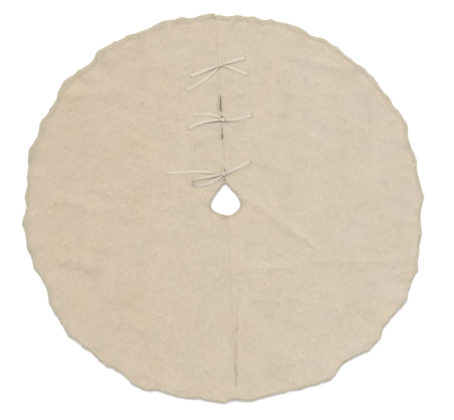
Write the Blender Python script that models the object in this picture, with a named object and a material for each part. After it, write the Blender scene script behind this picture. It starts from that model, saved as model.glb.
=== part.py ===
"""A round plush tree skirt, 1.22 m across, slit at the back and closed there with three tied bows.

Metres, +Z up. The origin is the centre of the trunk hole on the floor. The slit runs from the
hole along +Y to the back of the rim, and the front seam runs along -Y. Each half of the cloth is
a plush panel over a lining, and the left half folds up and over the right half.
"""

import math

import bmesh
import bpy
from mathutils import Vector

# Clearance between pieces that touch on the real skirt.
GAP = 0.0003

# The cloth's outline: a circle with a few shallow waves, as (count round the rim, height, phase).
SKIRT_RADIUS = 0.6096
RIM_WAVES = (
    (2, 0.0055, math.radians(67)),
    (4, 0.0045, math.radians(177)),
    (15, 0.0020, math.radians(3)),
    (21, 0.0020, math.radians(-61)),
    (31, 0.0020, math.radians(47)),
)

# The trunk hole is a rounded drop: an ellipse in front, drawn out to a point where the slit starts.
HOLE_HALF_WIDTH = 0.0415
HOLE_FRONT = 0.039
HOLE_BACK = 0.050
HOLE_FRONT_POWER = 2.0
HOLE_BACK_POWER = 1.2

# The two straight edges of each half.
SLIT_GAP = 0.003
SEAM_GAP = GAP

# The plush panels.
PLUSH_TOP = 0.013
RIM_ROUND = 0.006
HOLE_ROUND = 0.005
EDGE_ROUND = 0.004
RIM_TUCK = 0.002
TURN_UNDER = 0.007
ROUND_STEPS = 3
COLUMNS = 88
MIDDLE_ROWS = (0.2, 0.5, 0.8)

# The lining lies in the plush's turned-under border, and a stitching thread runs between them.
LINING_THICKNESS = 0.0010
THREAD = 0.0004

# The front seam's thread runs in a channel between the two panels, near their backing.
SEAM_THREAD = 0.0006
SEAM_THREAD_Z = 0.0026
SEAM_THREAD_END = 0.010

# The blank care label, under the right lining beside the front seam.
LABEL_LENGTH = 0.035
LABEL_WIDTH = 0.025
LABEL_THICKNESS = 0.0003
LABEL_FROM_SEAM = 0.010
LABEL_FROM_HOLE = 0.260

# The ribbon ties. A gathered ribbon is narrower, in its knot and where it comes up the slit.
# Through the knot a ribbon turns from its loop to its tail, and the knot leaves room for that.
RIBBON_WIDTH = 0.010
RIBBON_THICKNESS = 0.0006
GATHERED_WIDTH = 0.0055
POCKET_DEPTH = 0.015
LOOP_HEIGHT = 0.0040
KNOT_LENGTH = 0.009
KNOT_WALL = 0.0008
KNOT_ROOM = 0.0034
KNOT_TURN = 0.012
GATHER_LENGTH = 0.022
TAIL_DROP = 0.035
ROUTE_STEP = 0.006
CORNER_STEPS = 4
CREST_STEPS = 6
TIP_STEPS = 8
CROSSING_STEPS = 6
LEAST_SPREAD = math.radians(1)

# Each bow: its knot's distance from the hole's point along the slit, then its loops' tips and its
# tails' ends, left and right, measured from the knot. A tail's last number is how high it ends
# above the pile.
BOWS = {
    "upper": {
        "from_hole": 0.379,
        "loops": ((-0.090, -0.030), (0.084, 0.019)),
        "tails": ((-0.095, -0.078, 0.0), (0.087, -0.037, 0.0)),
    },
    "middle": {
        "from_hole": 0.202,
        "loops": ((-0.098, -0.013), (0.095, 0.011)),
        "tails": ((-0.086, 0.034, 0.0), (0.070, -0.026, 0.0)),
    },
    "lower": {
        "from_hole": 0.038,
        "loops": ((-0.098, -0.032), (0.080, 0.027)),
        "tails": ((-0.177, 0.009, 0.0), (0.062, 0.016, 0.0026)),
    },
}

# Colours are linear red, green and blue.
FINISHES = {
    "plush": ((0.665, 0.571, 0.456), 0.95),
    "lining": ((0.620, 0.545, 0.440), 0.80),
    "ribbon": ((0.775, 0.701, 0.578), 0.55),
    "thread": ((0.700, 0.620, 0.500), 0.70),
    "label": ((0.850, 0.840, 0.800), 0.50),
}

SHARP_ANGLE = math.radians(40)

LEFT, RIGHT = -1, 1
SIDE_NAMES = {LEFT: "left", RIGHT: "right"}

# Heights that follow from the sizes above. Cutters that open downwards start below the floor.
POCKET_TOP = LINING_THICKNESS + 2 * GAP + RIBBON_THICKNESS
RECESS_TOP = LINING_THICKNESS + GAP
RIBBON_REST = PLUSH_TOP + GAP + RIBBON_THICKNESS / 2
LAYER = RIBBON_THICKNESS + 2 * GAP
BELOW = -0.01


def clear_scene():
    for obj in list(bpy.data.objects):
        bpy.data.objects.remove(obj, do_unlink=True)


def make_materials():
    made = {}
    for name, (colour, roughness) in FINISHES.items():
        material = bpy.data.materials.new(name)
        material.use_nodes = True
        shader = material.node_tree.nodes["Principled BSDF"]
        shader.inputs["Base Color"].default_value = (*colour, 1.0)
        shader.inputs["Roughness"].default_value = roughness
        shader.inputs["Metallic"].default_value = 0.0
        made[name] = material
    return made


def link(name, bm, material=None):
    """Turns a bmesh into an object in the scene, with its faces pointing out."""
    bmesh.ops.recalc_face_normals(bm, faces=bm.faces)
    mesh = bpy.data.meshes.new(name)
    bm.to_mesh(mesh)
    bm.free()
    obj = bpy.data.objects.new(name, mesh)
    bpy.context.scene.collection.objects.link(obj)
    if material:
        mesh.materials.append(material)
        mesh.shade_smooth()
        mesh.set_sharp_from_angle(angle=SHARP_ANGLE)
    return obj


def boolean(obj, helper, operation):
    helper.hide_render = True
    helper.display_type = "WIRE"
    modifier = obj.modifiers.new(helper.name, "BOOLEAN")
    modifier.operation = operation
    modifier.solver = "EXACT"
    modifier.object = helper


def add_box(bm, low, high):
    """Adds a closed box between two corners."""
    low, high = Vector(low), Vector(high)
    made = bmesh.ops.create_cube(bm, size=1.0)["verts"]
    bmesh.ops.scale(bm, vec=high - low, verts=made)
    bmesh.ops.translate(bm, vec=(low + high) / 2, verts=made)


def rim_radius(angle):
    waves = sum(height * math.cos(count * angle + phase) for count, height, phase in RIM_WAVES)
    return SKIRT_RADIUS + waves


def hole_radius(angle):
    """The trunk hole's radius at an angle, from a superellipse for each half of it."""
    back = math.sin(angle) > 0
    depth = HOLE_BACK if back else HOLE_FRONT
    power = HOLE_BACK_POWER if back else HOLE_FRONT_POWER
    across = abs(math.cos(angle) / HOLE_HALF_WIDTH) ** power
    along = abs(math.sin(angle) / depth) ** power
    return (across + along) ** (-1 / power)


def hole_y(x, back):
    depth = HOLE_BACK if back else -HOLE_FRONT
    power = HOLE_BACK_POWER if back else HOLE_FRONT_POWER
    return depth * (1 - (abs(x) / HOLE_HALF_WIDTH) ** power) ** (1 / power)


def rim_y(x, back):
    direction = 1 if back else -1
    angle = math.atan2(direction * SKIRT_RADIUS, x)
    return direction * math.sqrt(rim_radius(angle) ** 2 - x**2)


def edge_column(side, offset, back):
    """The hole end and rim end of a line that runs beside a straight edge."""
    x = side * offset
    return Vector((x, hole_y(x, back))), Vector((x, rim_y(x, back)))


def angle_of(point):
    """A point's angle, from 270 degrees round to 90 on the left and -90 to 90 on the right."""
    angle = math.atan2(point.y, point.x)
    if point.x < 0 and angle < 0:
        angle += 2 * math.pi
    return angle


def between(first, last, share, radius):
    angle = angle_of(first) + (angle_of(last) - angle_of(first)) * share
    return Vector((math.cos(angle), math.sin(angle))) * radius(angle)


def columns(side, slit_offsets, seam_offsets):
    """Lines from the hole to the rim, from the slit round to the seam: (hole end, rim end)."""
    slit = [edge_column(side, offset, True) for offset in slit_offsets]
    seam = [edge_column(side, offset, False) for offset in reversed(seam_offsets)]
    middle = []
    for i in range(1, COLUMNS):
        share = i / COLUMNS
        hole = between(slit[-1][0], seam[0][0], share, hole_radius)
        rim = between(slit[-1][1], seam[0][1], share, rim_radius)
        middle.append((hole, rim))
    return slit + middle + seam


def rounding(radius):
    """(distance in, drop below the top) of the points across a rounded edge, from the edge in."""
    turns = [math.pi / 2 * i / ROUND_STEPS for i in range(ROUND_STEPS + 1)]
    return [(radius * (1 - math.cos(a)), radius * (1 - math.sin(a))) for a in turns]


def row_points(hole, rim):
    """(place, drop) of the points along one line of a panel's top, from the hole to the rim."""
    along = (rim - hole).normalized()
    span = (rim - hole).length
    near_hole = [(hole + along * d, drop) for d, drop in rounding(HOLE_ROUND)]
    middle = [(hole + along * span * share, 0.0) for share in MIDDLE_ROWS]
    near_rim = [(rim - along * d, drop) for d, drop in reversed(rounding(RIM_ROUND))]
    return near_hole + middle + near_rim


def panel_mesh(side):
    """A plush panel before its underside is cut: a rounded slab, tucked in under the rim."""
    edge = rounding(EDGE_ROUND)
    slit_offsets = [SLIT_GAP / 2 + d for d, _ in edge]
    seam_offsets = [SEAM_GAP / 2 + d for d, _ in edge]
    lines = columns(side, slit_offsets, seam_offsets)
    drops = [0.0] * len(lines)
    drops[: len(edge)] = [drop for _, drop in edge]
    drops[-len(edge) :] = [drop for _, drop in reversed(edge)]
    bm = bmesh.new()
    top = []
    bottom = []
    for (hole, rim), column_drop in zip(lines, drops):
        tuck = (rim - hole).normalized() * RIM_TUCK
        top.append([])
        for place, drop in row_points(hole, rim):
            height = PLUSH_TOP - math.hypot(drop, column_drop)
            top[-1].append(bm.verts.new((*place, height)))
        bottom.append([bm.verts.new((*(hole + tuck), 0)), bm.verts.new((*(rim - tuck), 0))])
    for one, two, low_one, low_two in zip(top, top[1:], bottom, bottom[1:]):
        for j in range(len(one) - 1):
            bm.faces.new((one[j], one[j + 1], two[j + 1], two[j]))
        bm.faces.new((low_one[0], low_one[1], low_two[1], low_two[0]))
        bm.faces.new((one[0], low_one[0], low_two[0], two[0]))
        bm.faces.new((one[-1], low_one[1], low_two[1], two[-1]))
    for line, low in ((top[0], bottom[0]), (top[-1], bottom[-1])):
        bm.faces.new(line + [low[1], low[0]])
    return bm


def outline(side, inset):
    """A half's outline, moved in from all its edges, as one closed run of points."""
    lines = columns(side, [SLIT_GAP / 2 + inset], [SEAM_GAP / 2 + inset])
    rims = [rim + (hole - rim).normalized() * inset for hole, rim in lines]
    holes = [hole + (rim - hole).normalized() * inset for hole, rim in lines]
    return rims + holes[::-1]


def prism_mesh(points, low, high):
    bm = bmesh.new()
    under = [bm.verts.new((*p, low)) for p in points]
    over = [bm.verts.new((*p, high)) for p in points]
    bm.faces.new(under)
    bm.faces.new(over)
    for i in range(len(points)):
        bm.faces.new((under[i - 1], under[i], over[i], over[i - 1]))
    return bm


def ring_mesh(outer, inner, low, high):
    """A closed loop of thread, with a rectangular section, between two outlines."""
    bm = bmesh.new()
    loops = []
    for points, height in ((outer, low), (inner, low), (inner, high), (outer, high)):
        loops.append([bm.verts.new((*p, height)) for p in points])
    for one, two in zip(loops, loops[1:] + loops[:1]):
        for i in range(len(outer)):
            bm.faces.new((one[i - 1], one[i], two[i], two[i - 1]))
    return bm


def knot_y(bow):
    return HOLE_BACK + bow["from_hole"]


def pockets_mesh(side):
    """The pockets under the slit edge where the ribbons' ends are sewn in."""
    bm = bmesh.new()
    half_width = RIBBON_WIDTH / 2 + GAP
    near = side * (SLIT_GAP / 2 - GAP)
    far = side * (SLIT_GAP / 2 + POCKET_DEPTH + GAP)
    for bow in BOWS.values():
        y = knot_y(bow)
        low = (min(near, far), y - half_width, LINING_THICKNESS)
        high = (max(near, far), y + half_width, POCKET_TOP)
        add_box(bm, low, high)
    return bm


def seam_thread_box(grow):
    """The front seam thread's corners, or those of its channel when it is grown."""
    half = SEAM_THREAD / 2 + grow
    far = rim_y(0, False) + SEAM_THREAD_END - grow
    near = hole_y(0, False) - SEAM_THREAD_END + grow
    return (-half, far, SEAM_THREAD_Z - half), (half, near, SEAM_THREAD_Z + half)


def label_box(grow):
    """The care label's corners, or those of its recess in the lining when it is grown."""
    x = SEAM_GAP / 2 + LABEL_FROM_SEAM
    y = hole_y(0, False) - LABEL_FROM_HOLE
    low = Vector((x - grow, y - LABEL_WIDTH / 2 - grow, BELOW if grow else 0))
    high = Vector((x + LABEL_LENGTH + grow, y + LABEL_WIDTH / 2 + grow, LABEL_THICKNESS + grow))
    return low, high


def box_object(name, corners, material=None):
    bm = bmesh.new()
    add_box(bm, *corners)
    return link(name, bm, material)


def make_half(side, materials):
    """The plush panel, the lining and the edge thread of one half."""
    name = SIDE_NAMES[side]
    panel = link(f"plush_panel_{name}", panel_mesh(side), materials["plush"])
    recess = link(f"cut_recess_{name}", prism_mesh(outline(side, TURN_UNDER), BELOW, RECESS_TOP))
    pockets = link(f"cut_pockets_{name}", pockets_mesh(side))
    channel = box_object(f"cut_channel_{name}", seam_thread_box(GAP))
    for cutter in (channel, pockets, recess):
        boolean(panel, cutter, "DIFFERENCE")
    thread_out = outline(side, TURN_UNDER + GAP)
    thread_in = outline(side, TURN_UNDER + GAP + THREAD)
    thread_low = (LINING_THICKNESS - THREAD) / 2
    thread_mesh = ring_mesh(thread_out, thread_in, thread_low, thread_low + THREAD)
    thread = link(f"edge_thread_{name}", thread_mesh, materials["thread"])
    lining_outline = outline(side, TURN_UNDER + THREAD + 2 * GAP)
    lining_mesh = prism_mesh(lining_outline, 0, LINING_THICKNESS)
    lining = link(f"lining_{name}", lining_mesh, materials["lining"])
    return [panel, thread, lining]


def make_label(lining, materials):
    boolean(lining, box_object("cut_label", label_box(GAP)), "DIFFERENCE")
    return box_object("care_label", label_box(0), materials["label"])


def smooth(share):
    share = min(max(share, 0.0), 1.0)
    return share * share * (3 - 2 * share)


def ribbon_width(distance):
    """The ribbon's width at a distance from the knot: gathered in it, then spreading out."""
    share = smooth((distance - KNOT_LENGTH / 2) / GATHER_LENGTH)
    return GATHERED_WIDTH + (RIBBON_WIDTH - GATHERED_WIDTH) * share


def turn_of(heading):
    """How far a ribbon's width is turned from +Y where the ribbon lies along a heading."""
    forward = heading if heading.x > 0 else -heading
    return math.atan2(forward.y, forward.x)


def arc(centre, radius, start, end, steps):
    """(across, up) points of an arc, with its angles in degrees."""
    points = []
    for i in range(steps + 1):
        angle = math.radians(start + (end - start) * i / steps)
        points.append((centre[0] + radius * math.cos(angle), centre[1] + radius * math.sin(angle)))
    return points


def riser_points(side, y, heading):
    """From the sewn end, round the panel's edge, up the slit and over onto the pile."""
    corner = (SLIT_GAP / 2, POCKET_TOP)
    hug = GAP + RIBBON_THICKNESS / 2
    inside = [(SLIT_GAP / 2 + POCKET_DEPTH, POCKET_TOP - hug)]
    under = arc(corner, hug, 270, 180, CORNER_STEPS)
    crest = (SLIT_GAP / 2 + EDGE_ROUND, PLUSH_TOP - EDGE_ROUND)
    over = arc(crest, EDGE_ROUND + hug, 180, 90, CREST_STEPS)
    slope = heading.y / abs(heading.x)
    points = []
    for across, up in inside + under:
        points.append((Vector((side * across, y, up)), 0.0, RIBBON_WIDTH))
    for i, (across, up) in enumerate(over):
        share = i / CREST_STEPS
        place = Vector((side * across, y + slope * across * share, up))
        turn = turn_of(heading) if i == CREST_STEPS else 0.0
        points.append((place, turn, GATHERED_WIDTH))
    return points


def leg_points(knot, heading, start, end, height):
    """A level run of ribbon along a heading, between two distances from the knot."""
    steps = max(2, round(abs(end - start) / ROUTE_STEP))
    points = []
    for i in range(steps + 1):
        distance = start + (end - start) * i / steps
        place = knot + heading * distance
        points.append((Vector((*place, height)), turn_of(heading), ribbon_width(distance)))
    return points


def tip_points(knot, heading, reach, low, high):
    """The half turn at a loop's tip, from its lower leg up to its upper leg."""
    radius = (high - low) / 2
    points = []
    for across, up in arc((reach - radius, low + radius), radius, -90, 90, TIP_STEPS)[1:-1]:
        place = knot + heading * across
        points.append((Vector((*place, up)), turn_of(heading), RIBBON_WIDTH))
    return points


def crossing_points(knot, heading, tail, height):
    """Through the knot, turning from the loop's heading to the tail's."""
    first = knot + heading * KNOT_TURN
    last = knot + tail * KNOT_TURN
    points = []
    for i in range(1, CROSSING_STEPS):
        t = i / CROSSING_STEPS
        place = first * (1 - t) ** 2 + knot * 2 * t * (1 - t) + last * t**2
        turn = turn_of(heading) * (1 - t) + turn_of(tail) * t
        width = ribbon_width((place - knot).length)
        points.append((Vector((*place, height)), turn, width))
    return points


def clear_distance(tail, loop):
    """How far from the knot a tail has left the loop beside it, so that it can come down."""
    spread = max(tail.angle(loop), LEAST_SPREAD)
    return (RIBBON_WIDTH + GAP) / math.tan(spread / 2) / 2 + RIBBON_WIDTH / 2


def tail_points(knot, tail, reach, loop, high, end_height):
    """A tail: level while it lies by the other ribbon's loop, then down to where it ends."""
    inside = end_height > 0
    start = KNOT_TURN if inside else min(clear_distance(tail, loop), reach - TAIL_DROP / 2)
    stop = min(start + TAIL_DROP, reach)
    low = RIBBON_REST + end_height
    points = leg_points(knot, tail, KNOT_TURN, reach, high)
    for place, _, _ in points:
        distance = (place.xy - knot).length
        place.z = high + (low - high) * smooth((distance - start) / (stop - start))
    return points


def ribbon_route(side, bow):
    """(place, turn of the width, width) along a tie: sewn end, slit, loop, knot and tail."""
    knot = Vector((0, knot_y(bow)))
    own, other = (0, 1) if side == LEFT else (1, 0)
    loop = Vector(bow["loops"][own])
    beside = Vector(bow["loops"][other])
    tail = Vector(bow["tails"][other][:2])
    high = RIBBON_REST + LOOP_HEIGHT + (LAYER if side == RIGHT else 0)
    heading = loop.normalized()
    start = (SLIT_GAP / 2 + EDGE_ROUND) / abs(heading.x) + ROUTE_STEP
    reach = loop.length
    bend = reach - (high - RIBBON_REST) / 2
    route = riser_points(side, knot.y, heading)
    route += leg_points(knot, heading, start, bend, RIBBON_REST)
    route += tip_points(knot, heading, reach, RIBBON_REST, high)
    route += leg_points(knot, heading, bend, KNOT_TURN, high)
    route += crossing_points(knot, heading, tail.normalized(), high)
    end_height = bow["tails"][other][2]
    route += tail_points(knot, tail.normalized(), tail.length, beside, high, end_height)
    return route


def ribbon_mesh(route):
    """A flat strip swept along a route, with a rectangular section."""
    bm = bmesh.new()
    rings = []
    places = [place for place, _, _ in route]
    for i, (place, turn, width) in enumerate(route):
        forward = (places[min(i + 1, len(places) - 1)] - places[max(i - 1, 0)]).normalized()
        across = Vector((-math.sin(turn), math.cos(turn), 0))
        normal = forward.cross(across).normalized() * RIBBON_THICKNESS / 2
        across *= width / 2
        corners = (across + normal, across - normal, -across - normal, -across + normal)
        rings.append([bm.verts.new(place + corner) for corner in corners])
    for one, two in zip(rings, rings[1:]):
        for i in range(4):
            bm.faces.new((one[i - 1], one[i], two[i], two[i - 1]))
    bm.faces.new(rings[0])
    bm.faces.new(rings[-1])
    return bm


def knot_mesh(bow):
    """The turn of ribbon that wraps a bow's crossing: a saddle over it, open below."""
    inner = GATHERED_WIDTH / 2 + KNOT_ROOM
    outer = inner + KNOT_WALL
    foot = PLUSH_TOP + GAP
    under = RIBBON_REST + LOOP_HEIGHT + LAYER
    over = under + RIBBON_THICKNESS / 2 + KNOT_WALL
    section = (
        (-outer, foot),
        (-outer, over - KNOT_WALL),
        (-inner, over),
        (inner, over),
        (outer, over - KNOT_WALL),
        (outer, foot),
        (inner, foot),
        (inner, under),
        (-inner, under),
        (-inner, foot),
    )
    bm = bmesh.new()
    ends = []
    for x in (-KNOT_LENGTH / 2, KNOT_LENGTH / 2):
        ends.append([bm.verts.new((x, knot_y(bow) + y, z)) for y, z in section])
        bm.faces.new(ends[-1])
    for i in range(len(section)):
        bm.faces.new((ends[0][i - 1], ends[0][i], ends[1][i], ends[1][i - 1]))
    return bm


def make_tie(name, bow, side, materials):
    """One ribbon tie. The right one of each pair also wraps the knot."""
    label = f"tie_{name}_{SIDE_NAMES[side]}"
    tie = link(label, ribbon_mesh(ribbon_route(side, bow)), materials["ribbon"])
    if side == RIGHT:
        boolean(tie, link(f"add_knot_{name}", knot_mesh(bow)), "UNION")
    return tie


def hang_on_axis(pieces):
    """Parents the left half's pieces to an empty on the fold's axis, leaving them in place."""
    axis = bpy.data.objects.new("fold_axis", None)
    axis.location = (0, 0, PLUSH_TOP)
    bpy.context.scene.collection.objects.link(axis)
    bpy.context.view_layer.update()
    for piece in pieces:
        piece.parent = axis
        piece.matrix_parent_inverse = axis.matrix_world.inverted()


def main():
    clear_scene()
    materials = make_materials()
    left = make_half(LEFT, materials)
    right = make_half(RIGHT, materials)
    box_object("front_seam_thread", seam_thread_box(0), materials["thread"])
    make_label(right[2], materials)
    for name, bow in BOWS.items():
        left.append(make_tie(name, bow, LEFT, materials))
        make_tie(name, bow, RIGHT, materials)
    hang_on_axis(left)


main()
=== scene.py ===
# %% [markdown]
# # A plush tree skirt, finished around its measured frame
#
# The real thing is two half rings of long-pile plush, sewn together down the front and
# backed by a thin lining. The slit at the back is closed by three pairs of ribbon ties.
# The imported frame fixes every size and place. This lesson adds what makes the skirt look
# like cloth: the pile, the way it lies, the ribbons' bows and the sewing.
#
# The first step loads the frame, bakes each part's place into its mesh, and keeps the parts
# by name.

# %% Load the frame
import math

import bmesh
import bpy
import numpy as np
from mathutils import Matrix, Vector


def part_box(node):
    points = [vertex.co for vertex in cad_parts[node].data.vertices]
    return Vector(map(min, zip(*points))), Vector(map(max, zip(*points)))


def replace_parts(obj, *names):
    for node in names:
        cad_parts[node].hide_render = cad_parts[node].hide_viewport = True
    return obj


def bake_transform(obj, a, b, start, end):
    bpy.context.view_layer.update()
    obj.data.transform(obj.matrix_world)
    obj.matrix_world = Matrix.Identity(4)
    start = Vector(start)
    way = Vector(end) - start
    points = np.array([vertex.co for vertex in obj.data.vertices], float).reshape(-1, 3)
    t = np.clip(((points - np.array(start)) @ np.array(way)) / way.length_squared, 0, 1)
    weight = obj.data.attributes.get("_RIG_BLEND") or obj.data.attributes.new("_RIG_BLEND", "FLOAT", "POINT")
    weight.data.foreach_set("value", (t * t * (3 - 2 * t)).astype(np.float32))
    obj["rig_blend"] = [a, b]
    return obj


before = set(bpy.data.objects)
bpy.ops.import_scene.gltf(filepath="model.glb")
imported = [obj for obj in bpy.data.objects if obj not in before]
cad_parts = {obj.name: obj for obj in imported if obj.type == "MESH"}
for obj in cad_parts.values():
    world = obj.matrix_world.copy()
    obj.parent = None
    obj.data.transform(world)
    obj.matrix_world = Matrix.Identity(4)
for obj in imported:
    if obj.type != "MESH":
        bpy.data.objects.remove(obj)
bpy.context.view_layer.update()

# %% [markdown]
# ## The camera
#
# The skirt lies flat on the floor and is seen from almost straight above, so a camera
# that looks down the Z axis would nearly do. A lean of about ten degrees towards the
# front shortens the circle a little from back to front, and a small turn about the view
# tips the slit over to the left. A long lens keeps the far rim as large as the near one.

# %% Camera
VIEW_LEAN = math.radians(10.58)
VIEW_TURN = math.radians(3.056)
VIEW_DISTANCE = 3.0
VIEW_TARGET = Vector((0.0036, -0.0275, 0))
VIEW_LENS = 77.6

camera_data = bpy.data.cameras.new("camera")
camera_data.lens = VIEW_LENS
camera = bpy.data.objects.new("camera", camera_data)
bpy.context.scene.collection.objects.link(camera)
set_back = Vector((0, -math.sin(VIEW_LEAN), math.cos(VIEW_LEAN))) * VIEW_DISTANCE
camera.matrix_world = (
    Matrix.Rotation(-VIEW_TURN, 4, "Z")
    @ Matrix.Translation(VIEW_TARGET + set_back)
    @ Matrix.Rotation(VIEW_LEAN, 4, "X")
)
bpy.context.scene.camera = camera
print("camera stands at", [round(c, 3) for c in camera.matrix_world.translation])

# %% [markdown]
# ## Floor and light
#
# A cream cloth reads as cream only against something whiter. The floor is a plain
# near-white sheet, lit until it is just about white. Most of the light is an even glow
# from all round, and one broad lamp high up beyond the slit gives the pile and the bows
# their soft shade towards the front. Blender's Standard view keeps the whites clean, where its
# default view would turn them grey.

# %% Floor, sky and lamp
FLOOR_SIZE = 12.0
FLOOR_DROP = 0.0004
FLOOR_WHITE = (0.94, 0.94, 0.94)
FLOOR_ROUGHNESS = 0.9
SKY_STRENGTH = 0.86
LAMP_PLACE = Vector((0.0, 3.4, 6.8))
LAMP_SIZE = 3.4
LAMP_POWER = 375

scene = bpy.context.scene
scene.view_settings.view_transform = "Standard"


def link(obj):
    scene.collection.objects.link(obj)
    return obj


def shader_of(material):
    return material.node_tree.nodes["Principled BSDF"]


floor_paint = bpy.data.materials.new("floor_paint")
floor_paint.use_nodes = True
shader_of(floor_paint).inputs["Base Color"].default_value = (*FLOOR_WHITE, 1)
shader_of(floor_paint).inputs["Roughness"].default_value = FLOOR_ROUGHNESS
floor_mesh = bpy.data.meshes.new("floor")
half_floor = FLOOR_SIZE / 2
floor_sides = ((-1, -1), (1, -1), (1, 1), (-1, 1))
floor_corners = [(x * half_floor, y * half_floor, -FLOOR_DROP) for x, y in floor_sides]
floor_mesh.from_pydata(floor_corners, [], [(0, 1, 2, 3)])
floor_mesh.materials.append(floor_paint)
floor = link(bpy.data.objects.new("floor", floor_mesh))

sky = bpy.data.worlds.new("sky")
sky.use_nodes = True
sky.node_tree.nodes["Background"].inputs["Strength"].default_value = SKY_STRENGTH
sky.node_tree.nodes["Background"].inputs["Color"].default_value = (1, 1, 1, 1)
scene.world = sky

lamp_data = bpy.data.lights.new("lamp", "AREA")
lamp_data.size = LAMP_SIZE
lamp_data.energy = LAMP_POWER
lamp = link(bpy.data.objects.new("lamp", lamp_data))
lamp.location = LAMP_PLACE
lamp.rotation_euler = LAMP_PLACE.to_track_quat("Z", "Y").to_euler()
print("lamp aims at the skirt from", [round(c, 2) for c in LAMP_PLACE])

# %% [markdown]
# ## The skirt's outline
#
# Both halves are cut to the same outline as in the frame: a circle with a few shallow
# waves outside, and a rounded drop for the trunk inside. Each half is drawn with lines
# that run from the hole to the rim, like the ribs of a fan. The lines beside the slit and
# the front seam run parallel to those edges, so that the edges can be rounded evenly.
# NumPy works out all the points of a half at once, which is far quicker than a loop.

# %% The same measures as the frame
LEFT, RIGHT = -1, 1
SIDE_NAMES = {LEFT: "left", RIGHT: "right"}
SKIRT_RADIUS = 0.6096
RIM_WAVES = (
    (2, 0.0055, math.radians(67)),
    (4, 0.0045, math.radians(177)),
    (15, 0.0020, math.radians(3)),
    (21, 0.0020, math.radians(-61)),
    (31, 0.0020, math.radians(47)),
)
HOLE_HALF_WIDTH = 0.0415
HOLE_FRONT = 0.039
HOLE_BACK = 0.050
HOLE_FRONT_POWER = 2.0
HOLE_BACK_POWER = 1.2
SLIT_GAP = 0.003
SEAM_GAP = 0.0003
PLUSH_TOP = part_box("plush_panel_right")[1].z
LINING_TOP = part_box("lining_right")[1].z
TURN_UNDER = 0.007
LEDGE = 0.0013
# A distance from the middle that lies well between the hole's edge and the rim.
MIDWAY = 0.2
print("pile top:", round(PLUSH_TOP, 4), "lining top:", round(LINING_TOP, 4))


# %% Outline helpers
def rim_radius(angle):
    return SKIRT_RADIUS + sum(h * np.cos(count * angle + phase) for count, h, phase in RIM_WAVES)


def hole_radius(angle):
    back = np.sin(angle) > 0
    depth = np.where(back, HOLE_BACK, HOLE_FRONT)
    power = np.where(back, HOLE_BACK_POWER, HOLE_FRONT_POWER)
    across = np.abs(np.cos(angle) / HOLE_HALF_WIDTH) ** power
    along = np.abs(np.sin(angle) / depth) ** power
    return (across + along) ** (-1 / power)


def edge_lines(side, offsets, back):
    """Hole ends and rim ends of lines beside the slit (back) or the front seam."""
    depth, power = (HOLE_BACK, HOLE_BACK_POWER) if back else (HOLE_FRONT, HOLE_FRONT_POWER)
    way = 1 if back else -1
    hole = [(side * d, way * depth * (1 - (d / HOLE_HALF_WIDTH) ** power) ** (1 / power)) for d in offsets]
    rim = []
    for d in offsets:
        radius = rim_radius(math.atan2(way * SKIRT_RADIUS, side * d))
        rim.append((side * d, way * math.sqrt(radius**2 - d**2)))
    return np.array(hole), np.array(rim)


def fan_lines(side, count, slit_offsets, seam_offsets):
    """Hole ends and rim ends of all the lines of a half, from the slit round to the seam."""
    slit_hole, slit_rim = edge_lines(side, slit_offsets, True)
    seam_hole, seam_rim = edge_lines(side, seam_offsets[::-1], False)
    share = np.arange(1, count)[:, None] / count
    ends = []
    for slit, seam, radius in ((slit_hole, seam_hole, hole_radius), (slit_rim, seam_rim, rim_radius)):
        first = math.atan2(slit[-1][1], slit[-1][0])
        last = math.atan2(seam[0][1], seam[0][0])
        if side == LEFT:
            last += 2 * math.pi
        angle = first + (last - first) * share
        middle = np.hstack((np.cos(angle), np.sin(angle))) * radius(angle)
        ends.append(np.vstack((slit, middle, seam)))
    return ends


def fan_places(side, count, slit_offsets, seam_offsets, end_steps, middle_rows):
    """Every point of a half as [line, row, xy], and each row's distance from the nearer end."""
    hole, rim = fan_lines(side, count, slit_offsets, seam_offsets)
    span = np.linalg.norm(rim - hole, axis=1)[:, None]
    steps = np.array(end_steps)[None, :]
    shares = np.linspace(0, 1, middle_rows + 2)[None, 1:-1]
    last = steps[:, -1:]
    middle = last + (span - 2 * last) * shares
    along = np.hstack((np.repeat(steps, len(span), 0), middle, span - steps[:, ::-1]))
    inward = np.minimum(along, span - along)
    places = hole[:, None] + (rim - hole)[:, None] * (along / span)[:, :, None]
    return places, inward


def half_places(side, count, edge_steps, end_steps, middle_rows):
    """Points of a half whose first lines keep the same distances from the slit and the seam."""
    slit_offsets = [SLIT_GAP / 2 + d for d in edge_steps]
    seam_offsets = [SEAM_GAP / 2 + d for d in edge_steps]
    return fan_places(side, count, slit_offsets, seam_offsets, end_steps, middle_rows)


outline_check, _ = half_places(RIGHT, 20, (0.0, 0.004), (0.0, 0.006), 5)
print("a half's lines and rows:", outline_check.shape[:2])

# %% [markdown]
# ## How the cloth lies
#
# Thick plush never lies quite flat. It has broad soft waves, a crease where it was
# folded in its packet, and a rim that flutes up and down where the cut edge has
# stretched. All of the pieces share one height field, so that the panel, the lining, the
# stitches and the ribbons stay together wherever the cloth lifts. The waves are sums of
# cosines in random directions: smooth, quick for a whole array, and the same every time.

# %% Height of the cloth above the floor
DRIFT_WAVES = 14
DRIFT_SPREAD = (1.3, 3.2)


def drift(x, y, size, seed):
    """A smooth random field of about -1 to 1, with patches about `size` across."""
    chance = np.random.default_rng(seed)
    total = np.zeros_like(x)
    for _ in range(DRIFT_WAVES):
        heading = chance.uniform(0, 2 * math.pi)
        turns = 2 * math.pi / (size * chance.uniform(*DRIFT_SPREAD))
        phase = chance.uniform(0, 2 * math.pi)
        total += np.cos((x * math.cos(heading) + y * math.sin(heading)) * turns + phase)
    return total / math.sqrt(DRIFT_WAVES)


def ease(value, low, high):
    share = np.clip((value - low) / (high - low), 0, 1)
    return share * share * (3 - 2 * share)


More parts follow.
